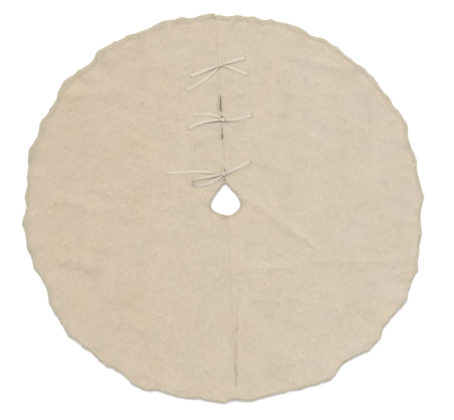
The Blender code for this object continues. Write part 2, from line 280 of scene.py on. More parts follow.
def hump(value, low, high, soft):
    """1 between low and high, falling softly to 0 outside them."""
    return ease(value, low - soft, low + soft) * (1 - ease(value, high - soft, high + soft))


# Creases as (start, end, half width, height), each a long low ridge in the cloth.
CREASES = (
    ((0.072, 0.004), (0.262, -0.150), 0.015, 0.0042),
    ((0.020, -0.206), (0.215, -0.214), 0.013, 0.0018),
    ((0.260, -0.198), (0.575, -0.214), 0.014, 0.0020),
    ((0.030, -0.300), (0.205, -0.306), 0.013, 0.0012),
    ((-0.520, -0.150), (-0.390, -0.178), 0.020, 0.0034),
    ((-0.500, 0.030), (-0.360, -0.010), 0.016, 0.0022),
    ((0.190, 0.470), (0.400, 0.400), 0.016, 0.0026),
    ((-0.480, 0.360), (-0.320, 0.372), 0.018, 0.0024),
    ((-0.310, -0.345), (-0.250, -0.385), 0.016, 0.0020),
)
# A crease rises and falls again over these shares of its length.
CREASE_RISE = (-0.30, 0.35)
CREASE_FALL = (0.65, 1.30)
BROAD_WAVE = 0.0011
BROAD_PATCH = 0.11
BROAD_CHANGE = 0.8
LEAST_LIFT = 0.0002
FLUTE_HEIGHT = 0.0032
FLUTE_MIDDLE = 0.45
FLUTE_SWING = 0.9
FLUTE_WIDTH = 0.075
FLUTES = ((23, 0.4), (37, 2.1), (52, 4.4))


def crease_height(x, y):
    total = np.zeros_like(x)
    for start, end, width, height in CREASES:
        run = np.subtract(end, start)
        length = np.linalg.norm(run)
        along = ((x - start[0]) * run[0] + (y - start[1]) * run[1]) / length
        across = ((x - start[0]) * -run[1] + (y - start[1]) * run[0]) / length
        rise = ease(along, CREASE_RISE[0] * length, CREASE_RISE[1] * length)
        fall = ease(along, CREASE_FALL[0] * length, CREASE_FALL[1] * length)
        fade = rise * (1 - fall)
        total += height * fade * np.exp(-((across / width) ** 2))
    return total


def lie(x, y):
    """Height of the cloth's underside above the floor, never below it."""
    radius = np.hypot(x, y)
    angle = np.arctan2(y, x)
    broad = BROAD_WAVE * (1 + BROAD_CHANGE * drift(x, y, BROAD_PATCH, 3))
    flutes = sum(np.cos(count * angle + phase) for count, phase in FLUTES) / len(FLUTES)
    share = ease(radius, SKIRT_RADIUS - FLUTE_WIDTH, SKIRT_RADIUS)
    lifted = FLUTE_HEIGHT * (FLUTE_MIDDLE + FLUTE_SWING * flutes) * share
    return np.maximum(broad, LEAST_LIFT) + crease_height(x, y) + np.maximum(lifted, 0)


# The slit's two edges are drawn together at each bow and part between them, in wedges.
# Each is (front end, back end, half width at the front end, half width at the back end).
PARTINGS = (
    (0.286, 0.338, 0.00034, 0.00020),
    (0.262, 0.272, 0.00045, 0.00035),
    (0.221, 0.242, 0.00012, 0.00012),
    (0.198, 0.217, 0.00036, 0.00016),
    (0.094, 0.106, 0.00020, 0.00015),
    (0.062, 0.073, 0.00050, 0.00030),
)
WIDEST_PARTING = 0.0006
PARTING_SOFT = 0.004
PARTING_REACH = 0.030
CLOSED_PULL = -0.0012
CLOSED_REACH = 0.003
CLOSED_BELOW = 0.25
SLIT_START = 0.02
VALLEY_DEPTH = 0.0014
VALLEY_REACH = 0.0065


def parting_width(y):
    total = np.zeros_like(y)
    for low, high, front, back in PARTINGS:
        share = np.clip((y - low) / (high - low), 0, 1)
        total += (front + (back - front) * share) * hump(y, low, high, PARTING_SOFT)
    return total


def openness(y):
    """From 0, where the slit's two edges meet, to 1, where they stand furthest apart."""
    return np.clip(parting_width(y) / WIDEST_PARTING, 0, 1)


def parted(x, y):
    """How far a point of the pile side moves away from the slit, towards its own side."""
    opened = parting_width(y) * np.exp(-np.abs(x) / PARTING_REACH)
    closed = CLOSED_PULL * (1 - np.clip(openness(y) / CLOSED_BELOW, 0, 1)) * ease(y, 0.0, SLIT_START)
    return np.sign(x) * (opened + closed * np.exp(-np.abs(x) / CLOSED_REACH))


# The front seam has a low ridge of pile on its left. On its right the pile parts along a
# groove that starts well in from the hole and runs in to meet the seam near the rim.
GROOVE_START = 0.255
GROOVE_FULL = 0.430
GROOVE_END = 0.556
GROOVE_TAPER = (-0.008, 0.012)
GROOVE_DEPTH = 0.0050
GROOVE_HALF_WIDTH = 0.0050
GROOVE_SPREAD = 0.0050
GROOVE_OFFSET = 0.0035
GROOVE_DRIFT = 0.0155
SEAM_RIDGE_PLACE = -0.006
SEAM_RIDGE_WIDTH = 0.008
SEAM_RIDGE = 0.0016
SEAM_RIDGE_START = (0.03, 0.08)


def groove(x, y):
    """(distance to the right of the groove's middle, how deep it is there from 0 to 1)."""
    inner = ease(y, -GROOVE_END, -GROOVE_START)
    across = x - GROOVE_OFFSET - GROOVE_DRIFT * inner
    share = ease(-y, GROOVE_START, GROOVE_FULL)
    share = share * (1 - ease(-y, GROOVE_END + GROOVE_TAPER[0], GROOVE_END + GROOVE_TAPER[1]))
    width = GROOVE_HALF_WIDTH + GROOVE_SPREAD * inner
    return across, share * np.exp(-((across / width) ** 2))


def seam_shape(x, y):
    """What the front seam adds to the height of the pile side."""
    front = ease(-y, *SEAM_RIDGE_START)
    ridge = SEAM_RIDGE * np.exp(-(((x - SEAM_RIDGE_PLACE) / SEAM_RIDGE_WIDTH) ** 2))
    return front * ridge - GROOVE_DEPTH * groove(x, y)[1]


spots = np.array([(0.15, -0.07), (0.0, -0.5), (-0.4, 0.2)])
print("cloth lifted by, mm:", np.round(lie(spots[:, 0], spots[:, 1]) * 1000, 1))

# %% [markdown]
# ## Finishes
#
# Everything is off-white, so the finishes differ in tone, grain and sheen. Each one is a
# small node tree: a few Noise or Wave textures vary the colour and drive a bump, and a
# constant sheen gives the cloth its soft bloom. The patterns read Object coordinates,
# which are metres here, or a UV map in metres where the weave follows a ribbon.


# %% Node helpers
CLOTH_SPECULAR = 0.25


def new_finish(name, colour, roughness, sheen, sheen_roughness=0.5):
    """A cloth material with its constant values set on the shader: (material, tree, shader)."""
    material = bpy.data.materials.new(name)
    material.use_nodes = True
    material.diffuse_color = (*colour, 1)
    shader = shader_of(material)
    shader.inputs["Base Color"].default_value = (*colour, 1)
    shader.inputs["Roughness"].default_value = roughness
    shader.inputs["Specular IOR Level"].default_value = CLOTH_SPECULAR
    shader.inputs["Sheen Weight"].default_value = sheen
    shader.inputs["Sheen Roughness"].default_value = sheen_roughness
    return material, material.node_tree, shader


def add_node(tree, kind, **settings):
    node = tree.nodes.new(kind)
    for name, value in settings.items():
        setattr(node, name, value)
    return node


def noise(tree, coordinates, size, detail=3.0, stretch=(1, 1, 1)):
    """A noise field of about 0 to 1 whose patches are `size` metres across."""
    mapping = add_node(tree, "ShaderNodeMapping")
    mapping.inputs["Scale"].default_value = [s / size for s in stretch]
    tree.links.new(coordinates, mapping.inputs["Vector"])
    texture = add_node(tree, "ShaderNodeTexNoise")
    texture.inputs["Scale"].default_value = 1.0
    texture.inputs["Detail"].default_value = detail
    tree.links.new(mapping.outputs["Vector"], texture.inputs["Vector"])
    return texture.outputs["Fac"]


def math_node(tree, operation, first, second=None, third=None):
    node = add_node(tree, "ShaderNodeMath", operation=operation)
    for socket, value in zip(node.inputs, (first, second, third)):
        if isinstance(value, (int, float)):
            socket.default_value = value
        elif value is not None:
            tree.links.new(value, socket)
    return node.outputs[0]


def weighed(tree, field, weight, base):
    """A base, which may be a field too, with a weighed field added."""
    return math_node(tree, "MULTIPLY_ADD", field, weight, base)


def centred(tree, field, strength):
    """A 0 to 1 field as a factor about 1."""
    return weighed(tree, field, 2 * strength, 1 - strength)


def product(tree, *factors):
    total = factors[0]
    for factor in factors[1:]:
        total = math_node(tree, "MULTIPLY", total, factor)
    return total


def tinted(tree, dark, light, share):
    """A colour between two, by a 0 to 1 share."""
    mix = add_node(tree, "ShaderNodeMix", data_type="RGBA", clamp_factor=True)
    mix.inputs[6].default_value = (*dark, 1)
    mix.inputs[7].default_value = (*light, 1)
    tree.links.new(share, mix.inputs["Factor"])
    return mix.outputs[2]


def towards(tree, colour, tint, share, blend="MIX"):
    """A colour moved towards a fixed tint, or multiplied by it, by a 0 to 1 share."""
    mix = add_node(tree, "ShaderNodeMix", data_type="RGBA", blend_type=blend, clamp_factor=True)
    tree.links.new(share, mix.inputs["Factor"])
    tree.links.new(colour, mix.inputs[6])
    mix.inputs[7].default_value = (*tint, 1)
    return mix.outputs[2]


def scaled(tree, colour, factor):
    node = add_node(tree, "ShaderNodeVectorMath", operation="SCALE")
    tree.links.new(colour, node.inputs[0])
    tree.links.new(factor, node.inputs["Scale"])
    return node.outputs[0]


def bump(tree, shader, height, distance, strength=1.0):
    node = add_node(tree, "ShaderNodeBump")
    node.inputs["Distance"].default_value = distance
    node.inputs["Strength"].default_value = strength
    tree.links.new(height, node.inputs["Height"])
    tree.links.new(node.outputs["Normal"], shader.inputs["Normal"])


def attribute(tree, name):
    return add_node(tree, "ShaderNodeAttribute", attribute_name=name).outputs["Fac"]


def object_place(tree):
    return add_node(tree, "ShaderNodeTexCoord").outputs["Object"]


# %% [markdown]
# ## The plush finish
#
# Plush is painted paler at the tips, for the light that passes through the fibres, and
# painted darker at the roots, for the shade deep in the pile. Its soft mottling is painted
# light and shade, for where the pile parts or lies another way. The pile's locks carry
# three attributes: `tip` along each lock, `tone` for the lock as a whole, and `rim`, which
# paints grey shade on the locks at the cut edge. The backing carries `deep`, painted shade
# that darkens it down the sides of the slit and the seam. Below 0 it is painted light that
# makes the backing paler, round the rim and the hole, where a dark line of shade would
# show through the pile.

# %% Plush finishes
# The pile's two ends: painted shade at the roots and painted light at the tips, and also the locks' own
# darker and paler tones.
PLUSH_DARK = (0.520, 0.430, 0.326)
PLUSH_LIGHT = (0.605, 0.518, 0.410)
# Painted light: the right half is painted paler and cooler than the left, rising across the middle, for how
# its brushed pile catches the light.
RIGHT_HALF_PAINTED_LIGHT = (1.035, 1.055, 1.105)
PAINTED_LIGHT_SPREAD = 0.7
WARM_PATCH = (1.0, 0.992, 0.945)
WARM_CONTRAST = 4.0
WARM_START = -1.5
# Painted shade: the locks at the cut rim, where the pile turns down away from the light, are greyed.
RIM_PAINTED_SHADE = (0.53, 0.52, 0.415)
RIM_PAINTED_SHADE_SHARE = 0.55
TIP_PAINTED_LIGHT = 0.40
TONE_WEIGHT = 0.25
ROOT_SHARE = 0.35
CLOUD_SIZE = 0.085
CLUMP_SIZE = 0.012
WARM_SIZE = 0.11
FIBRE_SIZE = 0.0022
# Painted light and shade on the backing: the shaded colour down the slit's and the seam's sides and
# underneath, the lit colour round the rim and the hole.
BACKING_PAINTED_SHADE = (0.50, 0.42, 0.32)
BACKING_PAINTED_LIGHT = (0.66, 0.57, 0.45)


def make_pile_finish():
    material, tree, shader = new_finish("plush_pile", PLUSH_LIGHT, 0.95, 0.25)
    place = object_place(tree)
    # Painted light and shade: tips painted paler for light through the fibres, roots darker for shade in the
    # pile; `tone` is each lock's own colour.
    share = weighed(tree, attribute(tree, "tip"), TIP_PAINTED_LIGHT, ROOT_SHARE)
    share = weighed(tree, attribute(tree, "tone"), TONE_WEIGHT, share)
    # Painted light and shade: soft mottling in patches and clumps, for where the pile parts or lies another
    # way.
    cloudy = centred(tree, noise(tree, place, CLOUD_SIZE, 3.0), 0.055)
    clumps = centred(tree, noise(tree, place, CLUMP_SIZE, 2.0), 0.050)
    colour = tinted(tree, PLUSH_DARK, PLUSH_LIGHT, share)
    colour = scaled(tree, colour, product(tree, cloudy, clumps))
    patches = weighed(tree, noise(tree, place, WARM_SIZE, 2.0), WARM_CONTRAST, WARM_START)
    colour = towards(tree, colour, WARM_PATCH, patches, "MULTIPLY")
    # Painted light on the right half, growing with the distance across.
    side = add_node(tree, "ShaderNodeSeparateXYZ")
    tree.links.new(place, side.inputs[0])
    right = weighed(tree, side.outputs["X"], 1 / PAINTED_LIGHT_SPREAD, 0.5)
    colour = towards(tree, colour, RIGHT_HALF_PAINTED_LIGHT, right, "MULTIPLY")
    # Painted shade greys the locks along the rim.
    painted_rim_shade = math_node(tree, "MULTIPLY", attribute(tree, "rim"), RIM_PAINTED_SHADE_SHARE)
    colour = towards(tree, colour, RIM_PAINTED_SHADE, painted_rim_shade)
    tree.links.new(colour, shader.inputs["Base Color"])
    return material


def make_backing_finish():
    material, tree, shader = new_finish("plush_backing", BACKING_PAINTED_LIGHT, 0.95, 0.15)
    place = object_place(tree)
    fibres = noise(tree, place, FIBRE_SIZE, 4.0)
    cloudy = centred(tree, noise(tree, place, CLOUD_SIZE, 3.0), 0.06)
    # Painted light and shade by `deep`: above 0 towards the shaded colour, below 0 towards the lit colour.
    light = weighed(tree, attribute(tree, "deep"), -0.5, 0.5)
    colour = tinted(tree, BACKING_PAINTED_SHADE, BACKING_PAINTED_LIGHT, light)
    colour = scaled(tree, colour, product(tree, cloudy, centred(tree, fibres, 0.2)))
    tree.links.new(colour, shader.inputs["Base Color"])
    bump(tree, shader, fibres, 0.0015)
    return material


finishes = {"pile": make_pile_finish(), "backing": make_backing_finish()}
print("plush finishes:", [material.name for material in finishes.values()])

# %% [markdown]
# ## The plush backing
#
# Under the pile is the cloth that holds it: a thick soft sheet with rounded edges, whose
# border is turned under round the lining. It is one closed mesh for each half, a fine fan
# of lines and rows above and another below, joined by a wall round the edge. A plane with
# Solidify would be quicker to make, but would have square edges and no turned border.

# %% Backing measures
BACKING_LINES = 330
BACKING_ROWS = 84
PILE_HEIGHT = 0.0050
RIM_INSET = 0.0080
HOLE_INSET = 0.0074
HOLE_BULGE = 0.0035
# The hole bulges most between two places along Y, and softly beyond them.
HOLE_BULGE_BAND = (-0.024, -0.012, 0.010)
# Small moves of the edges die out over this distance in from them.
MOVE_REACH = 0.030
# Small points where the stretched rim sticks out, as (count round the rim, height, phase).
RIM_POINTS = ((17, 0.0055, 0.3), (26, 0.0045, 1.7), (41, 0.0040, 4.0), (67, 0.0026, 2.2))
RIM_SHIFT = 0.0050
# Places where the hole or the rim stands out or is drawn in, as (degrees round from the
# right, height, half width in degrees).
HOLE_CORNERS = ((90, 0.0060, 13), (192, 0.0026, 16), (232, -0.0012, 14))
RIM_CORNERS = (
    (3, -0.011, 3.0),
    (28, 0.005, 3.5),
    (46, -0.008, 3.0),
    (99, 0.004, 3.0),
    (140, 0.011, 2.6),
    (148, -0.008, 2.8),
    (154, 0.008, 3.0),
    (164, 0.008, 3.6),
    (171, -0.008, 2.8),
    (183, 0.017, 2.6),
    (204, -0.009, 2.2),
    (217, 0.007, 3.0),
    (232, -0.009, 2.6),
    (243, 0.006, 2.5),
    (259, -0.008, 2.8),
    (277, -0.007, 3.5),
    (286, -0.006, 3.0),
    (297, 0.010, 2.2),
    (302, -0.011, 2.6),
    (318, -0.006, 3.5),
    (327, 0.005, 4.0),
    (345, -0.008, 3.0),
    (355, -0.008, 3.5),
)
EDGE_STEPS = (0.0, 0.0004, 0.0012, 0.0026, 0.0045, 0.0068, 0.0072, 0.0100, 0.0140)
END_STEPS = (0.0, 0.0005, 0.0015, 0.0032, 0.0055, 0.0068, 0.0072, 0.0100)
RIM_ROUND = 0.0045
STRAIGHT_ROUND = 0.0045
UNDER_TUCK = 0.0015
TUCK_REACH = 0.02
LUMP_HEIGHT = 0.00025
LUMP_SIZES = (0.009, 0.022)
LUMP_START = 0.01
CLOSED_DROP = 0.30
OPEN_DROP = 0.60
UNDER_REACH = 0.0012
UNDER_REACH_FROM = (0.001, 0.006)
# Painted shade of the backing: below 0 at the rim and the hole it paints them paler; the rest darken the
# slit's sides and the underside.
RIM_SHADE = -0.8
SLIT_SHADE_REACH = (0.012, 0.020)
FULL_SHADE_DROP = 0.005
UNDER_SHADE = 0.2
SLIT_UNDER_SHADE = 0.5


def rounded_drop(inward, radius):
    """Drop below a flat top at a distance in from an edge rounded to a radius."""
    outside = np.clip(radius - inward, 0, radius)
    return radius - np.sqrt(radius**2 - outside**2)


def straight_edge(places):
    """Distance in from the slit or the front seam."""
    gap = np.where(places[..., 1] > 0, SLIT_GAP, SEAM_GAP) / 2
    return np.abs(places[..., 0]) - gap


def corners(angle, table):
    """How far an edge stands out of its even curve, from (degrees, height, half width)."""
    total = np.zeros_like(angle)
    for degrees, height, width in table:
        away = np.angle(np.exp(1j * (angle - math.radians(degrees)))) / math.radians(width)
        total += height * np.exp(-(away**2))
    return total


def moved_in(places, inward):
    """The panel's points, drawn in from rim and hole to leave room for the pile that hangs over."""
    x, y = places[..., 0], places[..., 1]
    radius = np.hypot(x, y)
    angle = np.arctan2(y, x)
    points = sum(h * (1 - np.abs(np.sin((count * angle + phase) / 2))) ** 2 for count, h, phase in RIM_POINTS)
    bulge = HOLE_BULGE * hump(y, *HOLE_BULGE_BAND)
    rim = points + corners(angle, RIM_CORNERS) - RIM_INSET - RIM_SHIFT * np.cos(angle)
    hole = HOLE_INSET + bulge + corners(angle, HOLE_CORNERS)
    shift = np.where(radius > MIDWAY, rim, hole) * (1 - ease(inward, 0.0, MOVE_REACH))
    return places * (1 + shift / radius)[..., None]


def backing_points(side):
    """(top points, underside points) of a half, each as [line, row, xyz]."""
    flat, inward = half_places(side, BACKING_LINES, EDGE_STEPS, END_STEPS, BACKING_ROWS)
    straight = straight_edge(flat)
    flat = moved_in(flat, inward)
    x, y = flat[..., 0], flat[..., 1]
    lifted = lie(x, y)
    shift = parted(x, y)
    parting = CLOSED_DROP + (OPEN_DROP - CLOSED_DROP) * openness(y)
    drop = np.hypot(rounded_drop(inward, RIM_ROUND), rounded_drop(straight, STRAIGHT_ROUND) * parting)
    lumps = LUMP_HEIGHT * (drift(x, y, LUMP_SIZES[0], 11) + drift(x, y, LUMP_SIZES[1], 12))
    valley = VALLEY_DEPTH * openness(y) * np.exp(-((straight / VALLEY_REACH) ** 2))
    uneven = (lumps + seam_shape(x, y)) * ease(inward, 0, LUMP_START)
    height = PLUSH_TOP - PILE_HEIGHT - drop - valley + uneven
    top = np.stack((x + shift, y, lifted + height), axis=-1)
    border = np.minimum(inward, straight) < TURN_UNDER
    under = np.where(border, 0.0, LEDGE)
    radius = np.hypot(x, y)
    tuck = (1 - ease(inward, 0, TUCK_REACH)) * UNDER_TUCK * np.where(radius > MIDWAY, -1, 1)
    reach = np.where(y > 0, UNDER_REACH, 0.0) * (1 - ease(straight, *UNDER_REACH_FROM)) * np.sign(x)
    low = np.stack((x - reach + x / radius * tuck, y + y / radius * tuck, lifted + under), axis=-1)
    return top, low


# %% Mesh helpers
def grid_faces(lines, rows, first=0):
    """Quads over a grid of points that are numbered line by line."""
    line, row = np.meshgrid(np.arange(lines - 1), np.arange(rows - 1), indexing="ij")
    corner = (first + line * rows + row).ravel()
    return np.stack((corner, corner + 1, corner + rows + 1, corner + rows), axis=-1)


def grid_border(lines, rows):
    """The numbers of a grid's outer points, once round."""
    edge = [line * rows for line in range(lines)]
    edge += [(lines - 1) * rows + row for row in range(1, rows)]
    edge += [line * rows + rows - 1 for line in range(lines - 2, -1, -1)]
    edge += [row for row in range(rows - 2, 0, -1)]
    return np.array(edge)


def new_piece(name, points, faces, material):
    """A linked mesh object from arrays, with its faces turned outwards."""
    mesh = bpy.data.meshes.new(name)
    mesh.from_pydata(np.asarray(points).reshape(-1, 3).tolist(), [], [list(map(int, f)) for f in faces])
    bm = bmesh.new()
    bm.from_mesh(mesh)
    bmesh.ops.recalc_face_normals(bm, faces=bm.faces)
    bm.to_mesh(mesh)
    bm.free()
    mesh.materials.append(material)
    mesh.shade_smooth()
    return link(bpy.data.objects.new(name, mesh))


def closed_sheet(name, top, low, material):
    """A closed piece from two grids, one above the other, joined round their edges."""
    lines, rows = top.shape[:2]
    count = lines * rows
    edge = grid_border(lines, rows)
    onward = np.roll(edge, -1)
    wall = np.stack((edge, onward, onward + count, edge + count), axis=-1)
    faces = np.vstack((grid_faces(lines, rows), grid_faces(lines, rows, count), wall))
    points = np.concatenate((top.reshape(-1, 3), low.reshape(-1, 3)))
    return new_piece(name, points, faces, material)


def give(mesh, name, values):
    """Stores one number for each point of a mesh."""
    layer = mesh.attributes.new(name, "FLOAT", "POINT")
    layer.data.foreach_set("value", np.asarray(values, dtype=np.float32).ravel())


def give_map(mesh, name, places):
    """Stores a UV map, from one flat place for each point of a mesh."""
    points = np.empty(len(mesh.loops), dtype=np.int32)
    mesh.loops.foreach_get("vertex_index", points)
    layer = mesh.uv_layers.new(name=name)
    layer.data.foreach_set("uv", places[points].astype(np.float32).ravel())


# %% Backing of each half
backings = {}
tops = {}
for side, side_name in SIDE_NAMES.items():
    top, low = backing_points(side)
    backing = closed_sheet(f"plush_{side_name}", top, low, finishes["backing"])
    # Painted shade where the top drops down the slit's and the seam's sides, painted light round the rim and
    # the hole, and painted shade on the underside.
    fallen = PLUSH_TOP - PILE_HEIGHT + lie(top[..., 0], top[..., 1]) - top[..., 2]
    beside = 1 - ease(np.abs(top[..., 0]), *SLIT_SHADE_REACH)
    painted_edge_shade = np.clip(fallen / FULL_SHADE_DROP, 0, 1) * (RIM_SHADE + (1 - RIM_SHADE) * beside)
    painted_underside_shade = np.where(np.abs(low[..., 0]) < SLIT_GAP, SLIT_UNDER_SHADE, UNDER_SHADE)
    give(backing.data, "deep", np.concatenate((painted_edge_shade.ravel(), painted_underside_shade.ravel())))
    backings[side] = backing
    tops[side] = top
    print(backing.name, "faces:", len(backing.data.polygons))

# %% [markdown]
# ## The pile
#
# Each tuft of plush is a lock of fine fibres that leans over and tapers to a point.
# Blender's hair would draw every fibre, but it isn't a mesh and wouldn't leave Blender.
# So the pile is over 400,000 small curved blades, scattered over the backing by
# Geometry Nodes. The lean is what makes it read as plush: the pile is brushed one way on
# each half, swirls a little, spills over the rim and the hole, covers the seam, and
# parts where the slit stands open. Each half is done in sectors to keep the meshes small.

# %% The way the pile lies
NAP_HEADINGS = {LEFT: math.radians(255), RIGHT: math.radians(-78)}
NAP_SWIRL = 0.16
NAP_SWIRL_SIZES = (0.035, 0.012)
FINE_SWIRL = 0.6
NAP_LEAN = 1.7
# How strongly the pile spills over the rim and the hole, how much less of it spills where
# the rest of the pile is brushed the other way, and how far it turns aside there instead.
RIM_SPILL = 0.80
AGAINST_NAP = 0.20
HOLE_SPILL = 0.50
TURN_ASIDE = 0.90
RIM_SPILL_REACH = 0.016
HOLE_SPILL_REACH = 0.010
# Beside the slit the pile leans away where it stands open, and over it where it is closed.
PART_REACH = 0.014
COVER_REACH = 0.012
COVER_LEAN = 0.6
GROOVE_COMB = 0.9
# The pile's length varies a little, and it is shorter where it spills or parts.
LENGTH_CHANGE = 0.05
LENGTH_PATCH = 0.014
SPILL_SHORTER = 0.25
PART_SHORTER = 0.30


def nap_and_length(side, places, inward):
    """The pile's lean as a level vector, and its length as a share, at each point of a half."""
    x, y = places[..., 0], places[..., 1]
    radius = np.hypot(x, y)
    straight = straight_edge(places)
    swirl = drift(x, y, NAP_SWIRL_SIZES[0], 21) + FINE_SWIRL * drift(x, y, NAP_SWIRL_SIZES[1], 22)
    heading = NAP_HEADINGS[side] + NAP_SWIRL * swirl
    brushed = np.stack((np.cos(heading), np.sin(heading)), axis=-1)
    outward = np.stack((x, y), axis=-1) / radius[..., None]
    edgeward = outward * np.where(radius > MIDWAY, 1, -1)[..., None]
    against = np.clip(-np.sum(brushed * edgeward, axis=-1), 0, 1)
    rim_spill = (RIM_SPILL - AGAINST_NAP * against) * (1 - ease(inward, 0, RIM_SPILL_REACH))
    hole_spill = HOLE_SPILL * (1 - ease(inward, 0, HOLE_SPILL_REACH))
    spill = np.where(radius > MIDWAY, rim_spill, hole_spill)[..., None]
    turn = np.sign(brushed[..., 0] * edgeward[..., 1] - brushed[..., 1] * edgeward[..., 0])[..., None]
    aside = np.stack((-brushed[..., 1], brushed[..., 0]), axis=-1) * turn
    aside = aside * (TURN_ASIDE * against[..., None] * 4 * spill * (1 - spill))
    beside = ((1 - ease(straight, 0, PART_REACH)) * openness(y))[..., None]
    across = np.stack((np.full_like(x, side), np.zeros_like(x)), axis=-1)
    over_slit = (1 - ease(straight, 0, COVER_REACH)) * (1 - openness(y))
    covering = (side == LEFT) * COVER_LEAN * over_slit[..., None]
    from_groove, groove_share = groove(x, y)
    combed = np.stack((np.sign(from_groove), np.zeros_like(x)), axis=-1)
    lean = brushed * (1 - spill) * (1 - beside) + edgeward * spill + aside + across * (beside - covering)
    lean += combed * groove_share[..., None] * GROOVE_COMB
    length = 1 + LENGTH_CHANGE * drift(x, y, LENGTH_PATCH, 23)
    length = length * (1 - SPILL_SHORTER * spill[..., 0]) * (1 - PART_SHORTER * beside[..., 0])
    return lean * NAP_LEAN, length


# %% One lock of pile
LOCK_POINTS = ((0, -0.5, 0), (0, 0.5, 0), (0.06, 0.38, 0.5), (0.06, -0.38, 0.5), (0.28, 0, 1))
LOCK_FACES = ((0, 3, 2, 1), (3, 4, 2))
lock_mesh = bpy.data.meshes.new("lock")
lock_mesh.from_pydata(LOCK_POINTS, [], LOCK_FACES)
give(lock_mesh, "tip", [height for _, _, height in LOCK_POINTS])
lock = link(bpy.data.objects.new("lock", lock_mesh))
print("a lock has", len(LOCK_FACES), "faces")


# %% Geometry Nodes helpers
def new_tree(name, sockets):
    """An empty Geometry Nodes tree with named inputs: (tree, group input, group output)."""
    tree = bpy.data.node_groups.new(name, "GeometryNodeTree")
    tree.interface.new_socket("Geometry", in_out="INPUT", socket_type="NodeSocketGeometry")
    tree.interface.new_socket("Geometry", in_out="OUTPUT", socket_type="NodeSocketGeometry")
    for label, kind in sockets:
        tree.interface.new_socket(label, in_out="INPUT", socket_type=kind)
    return tree, tree.nodes.new("NodeGroupInput"), tree.nodes.new("NodeGroupOutput")


def wire(tree, *links):
    for start, end in links:
        tree.links.new(start, end)


def vector_math(tree, operation, first, second=None, scale=None):
    node = add_node(tree, "ShaderNodeVectorMath", operation=operation)
    tree.links.new(first, node.inputs[0])
    if second is not None:
        tree.links.new(second, node.inputs[1])
    if scale is not None:
        tree.links.new(scale, node.inputs["Scale"])
    return node.outputs[0]


def random_value(tree, low, high, seed):
    kind = "FLOAT_VECTOR" if isinstance(low, tuple) else "FLOAT"
    node = add_node(tree, "FunctionNodeRandomValue", data_type=kind)
    first = 0 if kind == "FLOAT_VECTOR" else 2
    node.inputs[first].default_value = low
    node.inputs[first + 1].default_value = high
    node.inputs["Seed"].default_value = seed
    return node.outputs[0 if kind == "FLOAT_VECTOR" else 1]


def grown(obj, tree, values):
    """Runs a tree on an object and leaves the result as its plain mesh."""
    modifier = obj.modifiers.new(tree.name, "NODES")
    modifier.node_group = tree
    for item in tree.interface.items_tree:
        if item.in_out == "INPUT" and item.name in values:
            modifier[item.identifier] = values[item.name]
    depsgraph = bpy.context.evaluated_depsgraph_get()
    mesh = bpy.data.meshes.new_from_object(obj.evaluated_get(depsgraph), depsgraph=depsgraph)
    obj.modifiers.remove(modifier)
    bare = obj.data
    obj.data = mesh
    bpy.data.meshes.remove(bare)
    mesh.name = obj.name
    return obj


# %% Pile tree
TANGLE_RANGE = ((-1, -1, -0.4), (1, 1, 1))
LENGTH_RANGE = (0.72, 1.16)
WIDTH_RANGE = (0.75, 1.30)


def make_pile_tree():
    sockets = [("Lock", "NodeSocketObject"), ("Density", "NodeSocketFloat"), ("Length", "NodeSocketFloat")]
    sockets += [("Width", "NodeSocketFloat"), ("Tangle", "NodeSocketFloat"), ("Seed", "NodeSocketInt")]
    sockets += [("Finish", "NodeSocketMaterial")]
    tree, given, result = new_tree("pile", sockets)
    scatter = add_node(tree, "GeometryNodeDistributePointsOnFaces")
    nap = add_node(tree, "GeometryNodeInputNamedAttribute", data_type="FLOAT_VECTOR")
    nap.inputs["Name"].default_value = "nap"
    share = add_node(tree, "GeometryNodeInputNamedAttribute", data_type="FLOAT")
    share.inputs["Name"].default_value = "share"
    tangle = random_value(tree, *TANGLE_RANGE, 1)
    tangle = vector_math(tree, "SCALE", tangle, scale=given.outputs["Tangle"])
    heading = vector_math(tree, "ADD", scatter.outputs["Normal"], nap.outputs["Attribute"])
    heading = vector_math(tree, "ADD", heading, tangle)
    forward = vector_math(tree, "ADD", nap.outputs["Attribute"], tangle)
    turn = add_node(tree, "FunctionNodeAxesToRotation", primary_axis="Z", secondary_axis="X")
    length = math_node(tree, "MULTIPLY", given.outputs["Length"], share.outputs["Attribute"])
    length = math_node(tree, "MULTIPLY", length, random_value(tree, *LENGTH_RANGE, 2))
    width = math_node(tree, "MULTIPLY", given.outputs["Width"], random_value(tree, *WIDTH_RANGE, 3))
    size = add_node(tree, "ShaderNodeCombineXYZ")
    shape = add_node(tree, "GeometryNodeObjectInfo")
    place = add_node(tree, "GeometryNodeInstanceOnPoints")
    tone = add_node(tree, "GeometryNodeStoreNamedAttribute", data_type="FLOAT", domain="INSTANCE")
    tone.inputs["Name"].default_value = "tone"
    plain = add_node(tree, "GeometryNodeRealizeInstances")
    finish = add_node(tree, "GeometryNodeSetMaterial")
    wire(
        tree,
        (given.outputs["Geometry"], scatter.inputs["Mesh"]),
        (given.outputs["Density"], scatter.inputs["Density"]),
        (given.outputs["Seed"], scatter.inputs["Seed"]),
        (heading, turn.inputs["Primary Axis"]),
        (forward, turn.inputs["Secondary Axis"]),
        (length, size.inputs["X"]),
        (width, size.inputs["Y"]),
        (length, size.inputs["Z"]),
        (given.outputs["Lock"], shape.inputs["Object"]),
        (scatter.outputs["Points"], place.inputs["Points"]),
        (shape.outputs["Geometry"], place.inputs["Instance"]),
        (turn.outputs["Rotation"], place.inputs["Rotation"]),
        (size.outputs["Vector"], place.inputs["Scale"]),
        (place.outputs["Instances"], tone.inputs["Geometry"]),
        (random_value(tree, 0.0, 1.0, 4), tone.inputs["Value"]),
        (tone.outputs["Geometry"], plain.inputs["Geometry"]),
        (plain.outputs["Geometry"], finish.inputs["Geometry"]),
        (given.outputs["Finish"], finish.inputs["Material"]),
        (finish.outputs["Geometry"], result.inputs["Geometry"]),
    )
    return tree


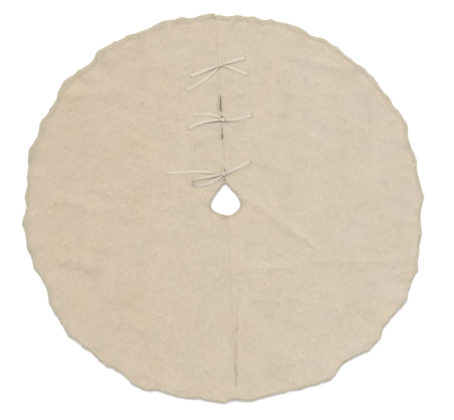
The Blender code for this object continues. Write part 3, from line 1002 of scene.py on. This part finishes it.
pile_tree = make_pile_tree()
print("pile tree nodes:", len(pile_tree.nodes))

# %% Grow the pile
SECTORS = 4
LOCK_DENSITY = 400000
LOCK_LENGTH = 0.0112
LOCK_WIDTH = 0.0022
LOCK_TANGLE = 0.26
RIM_PAINTED_SHADE_REACH = 0.012
FIRST_PILE_SEED = 40
BUILT_IN_LAYERS = ("position", "material_index", ".edge_verts", ".corner_vert", ".corner_edge")
KEPT_LAYERS = (*BUILT_IN_LAYERS, "tip", "tone", "rim")


def flat_map(mesh):
    """A map straight down Z, so that neighbouring locks share one patch of it."""
    places = np.empty(len(mesh.vertices) * 3, dtype=np.float32)
    mesh.vertices.foreach_get("co", places)
    level = places.reshape(-1, 3)[:, :2]
    low = level.min(axis=0)
    size = (level.max(axis=0) - low).max()
    give_map(mesh, "OFBake", (level - low) / size)


def keep_layers(mesh):
    """Removes what the pile's growth left on a mesh and nothing reads."""
    for name in [layer.name for layer in mesh.attributes if layer.name not in KEPT_LAYERS]:
        mesh.attributes.remove(mesh.attributes[name])


def sector_base(name, side, top, lean, share, rim):
    """A part of the top of a half, facing up, with the lean and the length of its pile."""
    mesh = bpy.data.meshes.new(name)
    faces = grid_faces(*top.shape[:2])
    if side == RIGHT:
        faces = faces[:, ::-1]
    mesh.from_pydata(top.reshape(-1, 3).tolist(), [], faces.tolist())
    nap = np.concatenate((lean, np.zeros((*share.shape, 1))), axis=-1)
    layer = mesh.attributes.new("nap", "FLOAT_VECTOR", "POINT")
    layer.data.foreach_set("vector", nap.astype(np.float32).ravel())
    give(mesh, "share", share)
    give(mesh, "rim", rim)
    return link(bpy.data.objects.new(name, mesh))


piles = {LEFT: [], RIGHT: []}
for side, side_name in SIDE_NAMES.items():
    flat, inward = half_places(side, BACKING_LINES, EDGE_STEPS, END_STEPS, BACKING_ROWS)
    lean, share = nap_and_length(side, flat, inward)
    # `rim` is painted shade for the pile at the rim, 1 at the cut edge and 0 a little way in.
    rim = (1 - ease(inward, 0.0, RIM_PAINTED_SHADE_REACH)) * (np.hypot(flat[..., 0], flat[..., 1]) > MIDWAY)
    edges = np.linspace(0, flat.shape[0] - 1, SECTORS + 1).astype(int)
    for number, (first, last) in enumerate(zip(edges, edges[1:]), start=1):
        part = slice(first, last + 1)
        name = f"pile_{side_name}_{number}"
        pile = sector_base(name, side, tops[side][part], lean[part], share[part], rim[part])
        values = {"Lock": lock, "Density": LOCK_DENSITY, "Length": LOCK_LENGTH, "Width": LOCK_WIDTH}
        values |= {"Tangle": LOCK_TANGLE, "Seed": FIRST_PILE_SEED + number * side, "Finish": finishes["pile"]}
        grown(pile, pile_tree, values)
        keep_layers(pile.data)
        flat_map(pile.data)
        piles[side].append(pile)
        print(pile.name, "locks:", len(pile.data.polygons) // len(LOCK_FACES))
bpy.data.objects.remove(lock)

# %% [markdown]
# ## The lining
#
# The lining is a thin plain-woven cotton cloth. It lies in the plush's turned-under
# border and is sewn to it all round, and the sewing puckers its edge a little. It shows
# when the left half is folded over. It is another closed fan, a few millimetres smaller.

# %% Lining finish
LINING_DARK = (0.44, 0.37, 0.28)
LINING_LIGHT = (0.70, 0.63, 0.525)
THREAD_PITCH = 0.0016
SLUB_SIZE = 0.0028
SLUB_STRETCH = 0.10
WEAVE_WEIGHT = 0.40
WEAVE_BASE = 0.05
SLUB_WEIGHT = 0.55
CROSS_SLUB_WEIGHT = 0.45
WRINKLE_SIZE = 0.045
WRINKLE_STRETCH = 0.55
WRINKLE_WEIGHT = 22.0
WEAVE_DEPTH = 0.0004


def yarns(tree, place, axis, pitch, wander=0.6):
    """Threads side by side along an axis, `pitch` metres apart, as a field of 0 to 1."""
    wave = add_node(tree, "ShaderNodeTexWave", wave_type="BANDS", bands_direction=axis, wave_profile="SIN")
    wave.inputs["Scale"].default_value = math.pi / (10 * pitch)
    wave.inputs["Distortion"].default_value = wander
    wave.inputs["Detail Scale"].default_value = 1.0
    tree.links.new(place, wave.inputs["Vector"])
    return wave.outputs["Fac"]


def make_lining_finish():
    material, tree, shader = new_finish("lining_cloth", LINING_LIGHT, 0.85, 0.12)
    place = object_place(tree)
    warp = yarns(tree, place, "X", THREAD_PITCH)
    weft = yarns(tree, place, "Y", THREAD_PITCH)
    weave = math_node(tree, "MULTIPLY", warp, weft)
    slubs = noise(tree, place, SLUB_SIZE, 2.0, (SLUB_STRETCH, 1, 1))
    cross_slubs = noise(tree, place, SLUB_SIZE, 2.0, (1, SLUB_STRETCH, 1))
    share = weighed(tree, weave, WEAVE_WEIGHT, WEAVE_BASE)
    share = weighed(tree, slubs, SLUB_WEIGHT, share)
    share = weighed(tree, cross_slubs, CROSS_SLUB_WEIGHT, share)
    cloudy = centred(tree, noise(tree, place, 0.06, 2.0), 0.06)
    colour = scaled(tree, tinted(tree, LINING_DARK, LINING_LIGHT, share), cloudy)
    tree.links.new(colour, shader.inputs["Base Color"])
    wrinkles = noise(tree, place, WRINKLE_SIZE, 2.0, (1, WRINKLE_STRETCH, 1))
    bump(tree, shader, weighed(tree, wrinkles, WRINKLE_WEIGHT, weave), WEAVE_DEPTH)
    return material


finishes["lining"] = make_lining_finish()

# %% Lining of each half
LINING_CLEARANCE = 0.0003
LINING_LINES = 210
LINING_ROWS = 56
LINING_STEPS = tuple(TURN_UNDER + LINING_CLEARANCE + d for d in (0.0, 0.0015, 0.0045, 0.0100))
LINING_WALL = 0.0005
LINING_LIFT = 0.00008
PUCKER_HEIGHT = 0.00028
PUCKERS = 190
PUCKER_REACH = 0.020


def lining_height(x, y, inward):
    """Height of the lining's underside over the cloth's lowest level."""
    edge = 1 - ease(inward, 0, PUCKER_REACH)
    angle = np.arctan2(y, x)
    puckers = (1 + np.cos(PUCKERS * angle + 2 * drift(x, y, 0.05, 31))) * edge
    return LINING_LIFT + PUCKER_HEIGHT * (puckers + 0.5 * (1 + drift(x, y, 0.04, 32) / 3))


def lining_points(side):
    flat, inward = half_places(side, LINING_LINES, LINING_STEPS, LINING_STEPS, LINING_ROWS)
    x, y = flat[..., 0], flat[..., 1]
    from_edge = np.minimum(inward, straight_edge(flat)) - LINING_STEPS[0]
    low = lie(x, y) + lining_height(x, y, from_edge)
    return np.stack((x, y, low + LINING_WALL), axis=-1), np.stack((x, y, low), axis=-1)


linings = {}
lining_undersides = {}
for side, side_name in SIDE_NAMES.items():
    top, low = lining_points(side)
    linings[side] = closed_sheet(f"lining_cloth_{side_name}", top, low, finishes["lining"])
    lining_undersides[side] = low
    print(linings[side].name, "faces:", len(linings[side].data.polygons))

# %% [markdown]
# ## The sewing
#
# A row of stitches runs round each lining just inside its edge, and the seam down the
# front is closed with short stitches that cross from one half to the other. One stitch
# is a small rounded bead of thread. Geometry Nodes set it along a line at an even
# spacing, so the same tree makes both rows: only the length and the way it turns differ.

# %% Thread finish and stitch tree
THREAD_COLOUR = (0.60, 0.50, 0.37)
THREAD_SHADE = 0.8
PLY_SIZE = 0.0005


def make_thread_finish():
    material, tree, shader = new_finish("sewing_thread", THREAD_COLOUR, 0.55, 0.2)
    place = object_place(tree)
    plies = noise(tree, place, PLY_SIZE, 2.0, (1, 1, 0.3))
    colour = tinted(tree, tuple(c * THREAD_SHADE for c in THREAD_COLOUR), THREAD_COLOUR, plies)
    tree.links.new(colour, shader.inputs["Base Color"])
    bump(tree, shader, plies, 0.0001)
    return material


def make_stitch_tree():
    sockets = [("Spacing", "NodeSocketFloat"), ("Length", "NodeSocketFloat"), ("Thread", "NodeSocketFloat")]
    sockets += [("Across", "NodeSocketFloat"), ("Finish", "NodeSocketMaterial")]
    tree, given, result = new_tree("stitches", sockets)
    curve = add_node(tree, "GeometryNodeMeshToCurve")
    points = add_node(tree, "GeometryNodeCurveToPoints", mode="LENGTH")
    turn = add_node(tree, "FunctionNodeAxesToRotation", primary_axis="X", secondary_axis="Z")
    turn.inputs["Secondary Axis"].default_value = (0, 0, 1)
    aside = add_node(tree, "ShaderNodeVectorRotate", rotation_type="Z_AXIS")
    bead = add_node(tree, "GeometryNodeMeshUVSphere")
    bead.inputs["Segments"].default_value = 6
    bead.inputs["Rings"].default_value = 5
    bead.inputs["Radius"].default_value = 0.5
    size = add_node(tree, "ShaderNodeCombineXYZ")
    place = add_node(tree, "GeometryNodeInstanceOnPoints")
    plain = add_node(tree, "GeometryNodeRealizeInstances")
    finish = add_node(tree, "GeometryNodeSetMaterial")
    wire(
        tree,
        (given.outputs["Geometry"], curve.inputs["Mesh"]),
        (curve.outputs["Curve"], points.inputs["Curve"]),
        (given.outputs["Spacing"], points.inputs["Length"]),
        (points.outputs["Tangent"], aside.inputs["Vector"]),
        (given.outputs["Across"], aside.inputs["Angle"]),
        (aside.outputs["Vector"], turn.inputs["Primary Axis"]),
        (given.outputs["Length"], size.inputs["X"]),
        (given.outputs["Thread"], size.inputs["Y"]),
        (given.outputs["Thread"], size.inputs["Z"]),
        (points.outputs["Points"], place.inputs["Points"]),
        (bead.outputs["Mesh"], place.inputs["Instance"]),
        (turn.outputs["Rotation"], place.inputs["Rotation"]),
        (size.outputs["Vector"], place.inputs["Scale"]),
        (place.outputs["Instances"], plain.inputs["Geometry"]),
        (plain.outputs["Geometry"], finish.inputs["Geometry"]),
        (given.outputs["Finish"], finish.inputs["Material"]),
        (finish.outputs["Geometry"], result.inputs["Geometry"]),
    )
    return tree


finishes["thread"] = make_thread_finish()
stitch_tree = make_stitch_tree()

# %% Rows of stitches
STITCH_SPACING = 0.0042
STITCH_LENGTH = 0.0034
STITCH_THREAD = 0.0008
SEAM_STITCH_SPACING = 0.0036
SEAM_STITCH_LENGTH = 0.0052
SEAM_STITCH_THREAD = 0.0006
# How far the seam's stitches stop short of the hole and of the rim.
SEAM_STITCH_ENDS = (0.006, 0.008)


def stitched(name, line, spacing, length, thread, across=0.0):
    """Stitches along a line of points, as one plain mesh."""
    mesh = bpy.data.meshes.new(name)
    mesh.from_pydata(line.tolist(), [(i, i + 1) for i in range(len(line) - 1)], [])
    row = link(bpy.data.objects.new(name, mesh))
    values = {"Spacing": spacing, "Length": length, "Thread": thread, "Across": across}
    grown(row, stitch_tree, values | {"Finish": finishes["thread"]})
    row.data.shade_smooth()
    print(name, "faces:", len(row.data.polygons))
    return row


edge_stitches = {}
for side, side_name in SIDE_NAMES.items():
    grid = lining_undersides[side]
    inner = grid[1:-1, 1:-1]
    line = inner.reshape(-1, 3)[grid_border(*inner.shape[:2])]
    line = np.vstack((line, line[:1]))
    line[:, 2] += STITCH_THREAD * 0.25
    edge_stitches[side] = stitched(
        f"edge_stitches_{side_name}", line, STITCH_SPACING, STITCH_LENGTH, STITCH_THREAD
    )

seam_start = -HOLE_FRONT - SEAM_STITCH_ENDS[0]
seam_end = -rim_radius(-math.pi / 2) + SEAM_STITCH_ENDS[1]
seam_y = np.linspace(seam_start, seam_end, 200)
seam_x = np.zeros_like(seam_y)
seam_line = np.stack((seam_x, seam_y, lie(seam_x, seam_y)), axis=-1)
seam_stitches = stitched(
    "seam_stitches", seam_line, SEAM_STITCH_SPACING, SEAM_STITCH_LENGTH, SEAM_STITCH_THREAD, math.pi / 2
)

# %% [markdown]
# ## The care label
#
# A small satin label is caught under the lining beside the front seam. It is left blank.
# Satin is smooth and a little shiny, with fine lines along its length.


# %% Care label
SATIN = (0.86, 0.85, 0.81)
SATIN_DARK = (0.80, 0.79, 0.75)
SATIN_LIGHT = (0.88, 0.87, 0.83)
SATIN_PITCH = 0.0006
SATIN_DEPTH = 0.00005
LABEL_STEPS = (14, 20)
LABEL_CURL = 0.00012
LABEL_CURL_LENGTH = 0.014
LABEL_WALL = 0.00025


def make_label_finish():
    material, tree, shader = new_finish("label_satin", SATIN, 0.38, 0.1)
    lines = yarns(tree, object_place(tree), "X", SATIN_PITCH, 0.1)
    tree.links.new(tinted(tree, SATIN_DARK, SATIN_LIGHT, lines), shader.inputs["Base Color"])
    bump(tree, shader, lines, SATIN_DEPTH)
    return material


finishes["label"] = make_label_finish()
label_low, label_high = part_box("care_label")
label_x, label_y = np.meshgrid(
    np.linspace(label_low.x, label_high.x, LABEL_STEPS[0]),
    np.linspace(label_low.y, label_high.y, LABEL_STEPS[1]),
    indexing="ij",
)
curl = LABEL_CURL * (1 + np.cos((label_x - label_low.x) * 2 * math.pi / LABEL_CURL_LENGTH)) / 2
label_z = lie(label_x, label_y) + curl
label_under = np.stack((label_x, label_y, label_z), axis=-1)
label_top = np.stack((label_x, label_y, label_z + LABEL_WALL), axis=-1)
care_label = closed_sheet("blank_label", label_top, label_under, finishes["label"])
print("label size:", [round(c, 4) for c in label_high - label_low])

# %% [markdown]
# ## The ribbon ties
#
# Three pairs of flat cotton tapes close the slit, each pair tied in a bow. Every tape is
# one strip: it is sewn into the slit's edge, comes up into the knot, makes a loop on its
# own side, goes back through the knot and ends in a tail on the other side. The strip is
# swept by hand along a smooth curve: at each point it has a place, a direction across
# and a width, so that it can lie flat, turn on its edge, and gather where the knot grips
# it. A Bevel on a Blender curve would be quicker, but it can't gather or turn so freely.

# %% Ribbon finish
RIBBON_DARK = (0.460, 0.405, 0.328)
RIBBON_LIGHT = (0.560, 0.502, 0.410)
RIBBON_RIB = 0.0009
TWILL_SHARE = 1.7
RIB_WEIGHT = 0.35
RIB_BASE = 0.45
WORN_SIZE = 0.012
WORN_WEIGHT = 0.35
SELVEDGE_WEIGHT = -0.35
RIB_DEPTH = 0.00012


def make_ribbon_finish():
    material, tree, shader = new_finish("ribbon_tape", RIBBON_LIGHT, 0.70, 0.2, 0.35)
    along = add_node(tree, "ShaderNodeUVMap", uv_map="weave").outputs["UV"]
    ribs = yarns(tree, along, "X", RIBBON_RIB, 0.3)
    twill = yarns(tree, along, "DIAGONAL", RIBBON_RIB * TWILL_SHARE, 0.3)
    weave = math_node(tree, "MULTIPLY", ribs, twill)
    worn = noise(tree, object_place(tree), WORN_SIZE, 3.0)
    share = weighed(tree, weave, RIB_WEIGHT, RIB_BASE)
    share = weighed(tree, worn, WORN_WEIGHT, share)
    share = weighed(tree, attribute(tree, "selvedge"), SELVEDGE_WEIGHT, share)
    tree.links.new(tinted(tree, RIBBON_DARK, RIBBON_LIGHT, share), shader.inputs["Base Color"])
    bump(tree, shader, weave, RIB_DEPTH)
    return material


finishes["ribbon"] = make_ribbon_finish()

# %% Ribbon measures
RIBBON_WIDTH = 0.010
RIBBON_WALL = 0.0005
GATHERED = 0.0056
SPREADING = 0.0085
KNOT_RISE = 0.0018
# A loop's lower and upper legs, from the knot's middle, and how far a standing loop lifts.
LOWER_LEG = -KNOT_RISE - 0.0012
UPPER_LEG = -KNOT_RISE + 0.0011
STANDING_LIFT = 0.0042
# The sewn end's heights on its way up through the slit, how far it is from the middle of
# the slit, and its width there.
RISER_HEIGHTS = (0.0035, 0.0075, 0.0110)
RISER_APART = 0.0008
RISER_WIDTH = 0.0072
PLEAT = 0.0011
PLEAT_WAVES = 2.5
CROWN = 0.00025
EDGE_THINNING = 0.55
SLANT_CUT = 0.0022
BURIED = 0.004
STRIP_STEP = 0.0022
STRIP_ACROSS = 9
CURVE_STEPS = 24
# Each bow: its knot's place, then for each side the loop's tip and the tail's end from the knot.
# A loop's other numbers are how far its legs stand apart, how steeply its tip stands up, and
# how far it curves sideways.
# A tail's are how far it curves sideways, and how far its end rises, or sinks into the pile.
BOWS = {
    "upper": (
        (0.006, 0.432),
        {LEFT: ((-0.095, -0.032), 0.003, 0.15, 0.0), RIGHT: ((0.080, 0.020), 0.003, 0.15, 0.0)},
        {LEFT: ((-0.108, -0.074), -0.006, -0.0006), RIGHT: ((0.081, -0.034), 0.004, 0.0004)},
    ),
    "middle": (
        (0.004, 0.254),
        {LEFT: ((-0.108, -0.021), 0.004, 0.15, 0.006), RIGHT: ((0.090, 0.012), 0.004, 0.25, -0.007)},
        {LEFT: ((-0.092, 0.026), 0.010, -0.0010), RIGHT: ((0.074, 0.000), -0.005, -0.0004)},
    ),
    "lower": (
        (-0.002, 0.081),
        {LEFT: ((-0.099, -0.024), 0.0210, 1.00, -0.004), RIGHT: ((0.083, 0.036), 0.004, 0.15, -0.002)},
        {LEFT: ((-0.176, 0.015), 0.007, 0.0), RIGHT: ((0.064, 0.020), -0.003, -0.0004)},
    ),
}


# %% Routes
def bow_axes(reach):
    """(direction, level direction across it) of a loop or tail that reaches to a place."""
    length = math.hypot(*reach)
    ahead = Vector((reach[0] / length, reach[1] / length, 0))
    across = Vector((-ahead.y, ahead.x, 0))
    if across.y < 0:
        across = -across
    return ahead, across, length


def riser_controls(side, knot):
    """The sewn end: up between the slit's edges, gathered, into the knot."""
    x = side * RISER_APART
    level = Vector((0, 1, 0))
    return [(Vector((x - knot.x, 0, z - knot.z)), level, RISER_WIDTH) for z in RISER_HEIGHTS]


def loop_controls(reach, apart, stand, sway):
    """Out along the lower leg, round the tip and back along the upper leg."""
    ahead, across, length = bow_axes(reach)
    open_half = apart / 2
    low = LOWER_LEG
    high = UPPER_LEG
    lift = STANDING_LIFT * math.sin(stand)
    # Each is (share of the reach, share of the opening, height, width, share of the standing).
    places = (
        (0.07, 0.25, -0.0010, GATHERED, 0.15),
        (0.22, 0.60, low + 0.0004, SPREADING, 0.25),
        (0.50, 0.95, low, RIBBON_WIDTH, 0.25),
        (0.80, 1.00, low, RIBBON_WIDTH, 0.55),
        (0.95, 0.70, low + 0.0004, RIBBON_WIDTH, 0.95),
        (1.00, 0.00, (low + high) / 2, RIBBON_WIDTH, 1.0),
        (0.95, -0.70, high - 0.0004, RIBBON_WIDTH, 0.95),
        (0.80, -1.00, high, RIBBON_WIDTH, 0.55),
        (0.50, -0.95, high + 0.0006, RIBBON_WIDTH, 0.25),
        (0.22, -0.60, 0.0012, SPREADING, 0.25),
        (0.07, -0.25, 0.0012, GATHERED, 0.15),
    )
    controls = []
    for share, aside, height, width, turned in places:
        angle = stand * turned
        flat = across * math.cos(angle) + Vector((0, 0, 1)) * math.sin(angle)
        level = height * math.cos(stand) + (low + lift) * (1 - math.cos(stand))
        level = max(level, low + lift * turned)
        sideways = across * (sway * math.sin(math.pi * share) - open_half * aside)
        controls.append((ahead * length * share + sideways + Vector((0, 0, level)), flat, width))
    return controls


def tail_controls(reach, sway, rise):
    """From the knot down to the pile, with a slight sideways curve."""
    ahead, across, length = bow_axes(reach)
    # Each is (share of the reach, share of the sideways curve, height, width).
    places = (
        (0.08, 0.3, -0.0006, GATHERED),
        (0.22, 0.8, -KNOT_RISE - 0.0002, SPREADING),
        (0.48, 1.0, LOWER_LEG, RIBBON_WIDTH),
        (0.76, 0.5, LOWER_LEG + rise, RIBBON_WIDTH),
        (1.00, 0.0, -KNOT_RISE - 0.0010 + rise, RIBBON_WIDTH),
    )
    return [
        (ahead * length * share + across * sway * aside + Vector((0, 0, height)), across, width)
        for share, aside, height, width in places
    ]


def smoothed(controls, step):
    """Points at an even step on a Catmull-Rom curve through (place, across, width) controls."""
    keys = [np.array((*place, *across, width)) for place, across, width in controls]
    keys = [2 * keys[0] - keys[1], *keys, 2 * keys[-1] - keys[-2]]
    fine = []
    for before, start, end, after in zip(keys, keys[1:], keys[2:], keys[3:]):
        share = np.linspace(0, 1, CURVE_STEPS, endpoint=False)[:, None]
        cubic = 3 * (start - end) + after - before
        bend = 2 * before - 5 * start + 4 * end - after
        fine.append(0.5 * (2 * start + (end - before) * share + bend * share**2 + cubic * share**3))
    fine = np.vstack((*fine, keys[-2][None]))
    run = np.concatenate(([0], np.cumsum(np.linalg.norm(np.diff(fine[:, :3], axis=0), axis=1))))
    even = np.linspace(0, run[-1], int(run[-1] / step) + 1)
    return np.stack([np.interp(even, run, column) for column in fine.T], axis=-1), even


# %% The strip itself
def unit(vectors):
    return vectors / np.linalg.norm(vectors, axis=-1, keepdims=True)


def strip_points(route):
    """The two faces of a strip along a route, as [step, across, xyz]."""
    places, across, width = route[:, :3], route[:, 3:6], route[:, 6]
    ahead = unit(np.gradient(places, axis=0))
    across = unit(across - ahead * np.sum(across * ahead, axis=1, keepdims=True))
    face = np.cross(ahead, across)
    share = np.linspace(-1, 1, STRIP_ACROSS)
    spare = np.sqrt(np.clip(1 - (width / RIBBON_WIDTH) ** 2, 0, 1))
    pleat = PLEAT * spare[:, None] * np.cos(share * PLEAT_WAVES * math.pi)[None]
    crown = CROWN * (1 - share**2)[None]
    middle = places[:, None] + across[:, None] * (share[None] * width[:, None] / 2)[..., None]
    middle = middle + face[:, None] * (pleat + crown)[..., None]
    wall = RIBBON_WALL / 2 * (1 - EDGE_THINNING * np.abs(share) ** 6)
    offset = face[:, None] * wall[None, :, None]
    return middle + offset, middle - offset


def make_ribbon(name, side, bow):
    """One tie, from its sewn end to its slanting cut end, and its length."""
    place, loops, tails = BOWS[bow]
    knot = Vector((*place, PLUSH_TOP + KNOT_RISE))
    controls = riser_controls(side, knot)
    controls += loop_controls(*loops[side]) + tail_controls(*tails[-side])
    route, run = smoothed(controls, STRIP_STEP)
    route[:, :3] += np.array(knot)
    above = ease(route[:, 2], PLUSH_TOP - BURIED, PLUSH_TOP)
    route[:, 2] += lie(route[:, 0], route[:, 1]) * above
    top, low = strip_points(route)
    share = np.linspace(-1, 1, STRIP_ACROSS)
    last_steps = np.where(run > run[-1] - 2 * STRIP_STEP, 1.0, 0.0)
    slant = last_steps[:, None] * share[None] * SLANT_CUT
    cut = unit(np.gradient(route[:, :3], axis=0))[:, None] * slant[..., None]
    ribbon = closed_sheet(name, top + cut, low + cut, finishes["ribbon"])
    edge = np.broadcast_to(np.abs(share) ** 8, top.shape[:2])
    give(ribbon.data, "selvedge", np.concatenate((edge.ravel(), edge.ravel())))
    weave_u = np.broadcast_to(share[None] * RIBBON_WIDTH / 2, top.shape[:2])
    weave_v = np.broadcast_to(run[:, None], top.shape[:2])
    weave = np.tile(np.stack((weave_u.ravel(), weave_v.ravel()), axis=-1), (2, 1))
    give_map(ribbon.data, "weave", weave)
    return ribbon, float(run[-1])


ribbons = {}
for bow in BOWS:
    for side, side_name in SIDE_NAMES.items():
        name = f"ribbon_{bow}_{side_name}"
        ribbons[bow, side] = make_ribbon(name, side, bow)
        print(name, "length, mm:", round(ribbons[bow, side][1] * 1000))

# %% [markdown]
# ## The knots
#
# The middle of a bow is one turn of tape, gathered into small pleats and pulled tight
# round the rest. It is a short barrel with its pleats running round it, pinched at both
# ends, where the loops and tails come out.

# %% Knots
KNOT_LENGTH = 0.0100
KNOT_HALF_WIDTH = 0.0060
KNOT_HALF_HEIGHT = 0.0036
KNOT_TURNS = {"upper": math.radians(14), "middle": math.radians(5), "lower": math.radians(12)}
KNOT_AROUND = 40
KNOT_RINGS = 26
KNOT_PINCH = 0.12
KNOT_WAIST = 0.10
KNOT_PLEAT = 0.07
KNOT_PLEATS = 3.2
KNOT_LUMP = 0.05


def make_knot(bow):
    """A pleated barrel round the crossing, closed at its two pinched ends."""
    share = np.linspace(-1, 1, KNOT_RINGS)
    around = np.linspace(0, 2 * math.pi, KNOT_AROUND, endpoint=False)
    s, a = np.meshgrid(share, around, indexing="ij")
    barrel = np.sqrt(np.clip(1 - np.abs(s) ** 5, 0.0, 1))
    barrel = barrel * (1 - KNOT_WAIST + KNOT_WAIST * np.cos(s * math.pi))
    pleats = 1 + KNOT_PLEAT * np.cos(s * KNOT_PLEATS * math.pi + 0.5 * np.sin(a)) * (1 - s**4)
    lumps = 1 + KNOT_LUMP * np.sin(2 * a + 1.0)
    radius = np.clip(barrel, KNOT_PINCH, 1) * pleats * lumps
    x = s * KNOT_LENGTH / 2
    y = np.cos(a) * KNOT_HALF_WIDTH * radius
    z = np.sin(a) * KNOT_HALF_HEIGHT * radius
    turn = KNOT_TURNS[bow]
    turned_x = x * math.cos(turn) - y * math.sin(turn)
    turned_y = x * math.sin(turn) + y * math.cos(turn)
    points = np.stack((turned_x, turned_y, z), axis=-1)
    knot_x, knot_y = BOWS[bow][0]
    base = lie(np.array([knot_x]), np.array([knot_y]))[0]
    points = points.reshape(-1, 3) + np.array((knot_x, knot_y, PLUSH_TOP + KNOT_RISE + base))
    faces = []
    for ring in range(KNOT_RINGS - 1):
        for i in range(KNOT_AROUND):
            j = (i + 1) % KNOT_AROUND
            first, second = ring * KNOT_AROUND, (ring + 1) * KNOT_AROUND
            faces.append((first + i, first + j, second + j, second + i))
    for ring in (0, KNOT_RINGS - 1):
        faces.append(tuple(ring * KNOT_AROUND + i for i in range(KNOT_AROUND)))
    knot = new_piece(f"knot_{bow}", points, faces, finishes["ribbon"])
    weave = np.stack((a.ravel() * KNOT_HALF_WIDTH, s.ravel() * RIBBON_WIDTH / 2), axis=-1)
    give_map(knot.data, "weave", weave)
    give(knot.data, "selvedge", np.zeros(len(knot.data.vertices)))
    return knot


knots = {bow: make_knot(bow) for bow in BOWS}
print("knots:", [knot.name for knot in knots.values()])

# %% [markdown]
# ## Movement
#
# The left half folds over the right about the line from the slit to the front seam. The
# cloth can't crease along a perfect edge, so every piece near that line bends from one
# half to the other over six centimetres, all with the same start and end, so that they
# stay together. Each frame part that a piece stands for is hidden.

# %% Bend every piece with the fold
FOLD_START = (-0.03, 0, 0)
FOLD_END = (0.03, 0, 0)


def follow_fold(piece):
    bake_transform(piece, "left_half", "right_half", start=FOLD_START, end=FOLD_END)
    return piece


for side, side_name in SIDE_NAMES.items():
    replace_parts(follow_fold(backings[side]), f"plush_panel_{side_name}")
    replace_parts(follow_fold(linings[side]), f"lining_{side_name}")
    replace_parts(follow_fold(edge_stitches[side]), f"edge_thread_{side_name}")
    for pile in piles[side]:
        follow_fold(pile)
    for bow in BOWS:
        ribbon, _ = ribbons[bow, side]
        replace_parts(follow_fold(ribbon), f"tie_{bow}_{side_name}")
for knot in knots.values():
    follow_fold(knot)
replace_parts(follow_fold(seam_stitches), "front_seam_thread")
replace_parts(follow_fold(care_label), "care_label")

# %% Count of the cloth pieces
for side in SIDE_NAMES:
    for bow in BOWS:
        ribbon, length = ribbons[bow, side]
print("cloth declared for", len(backings) + len(linings) + len(ribbons), "pieces")
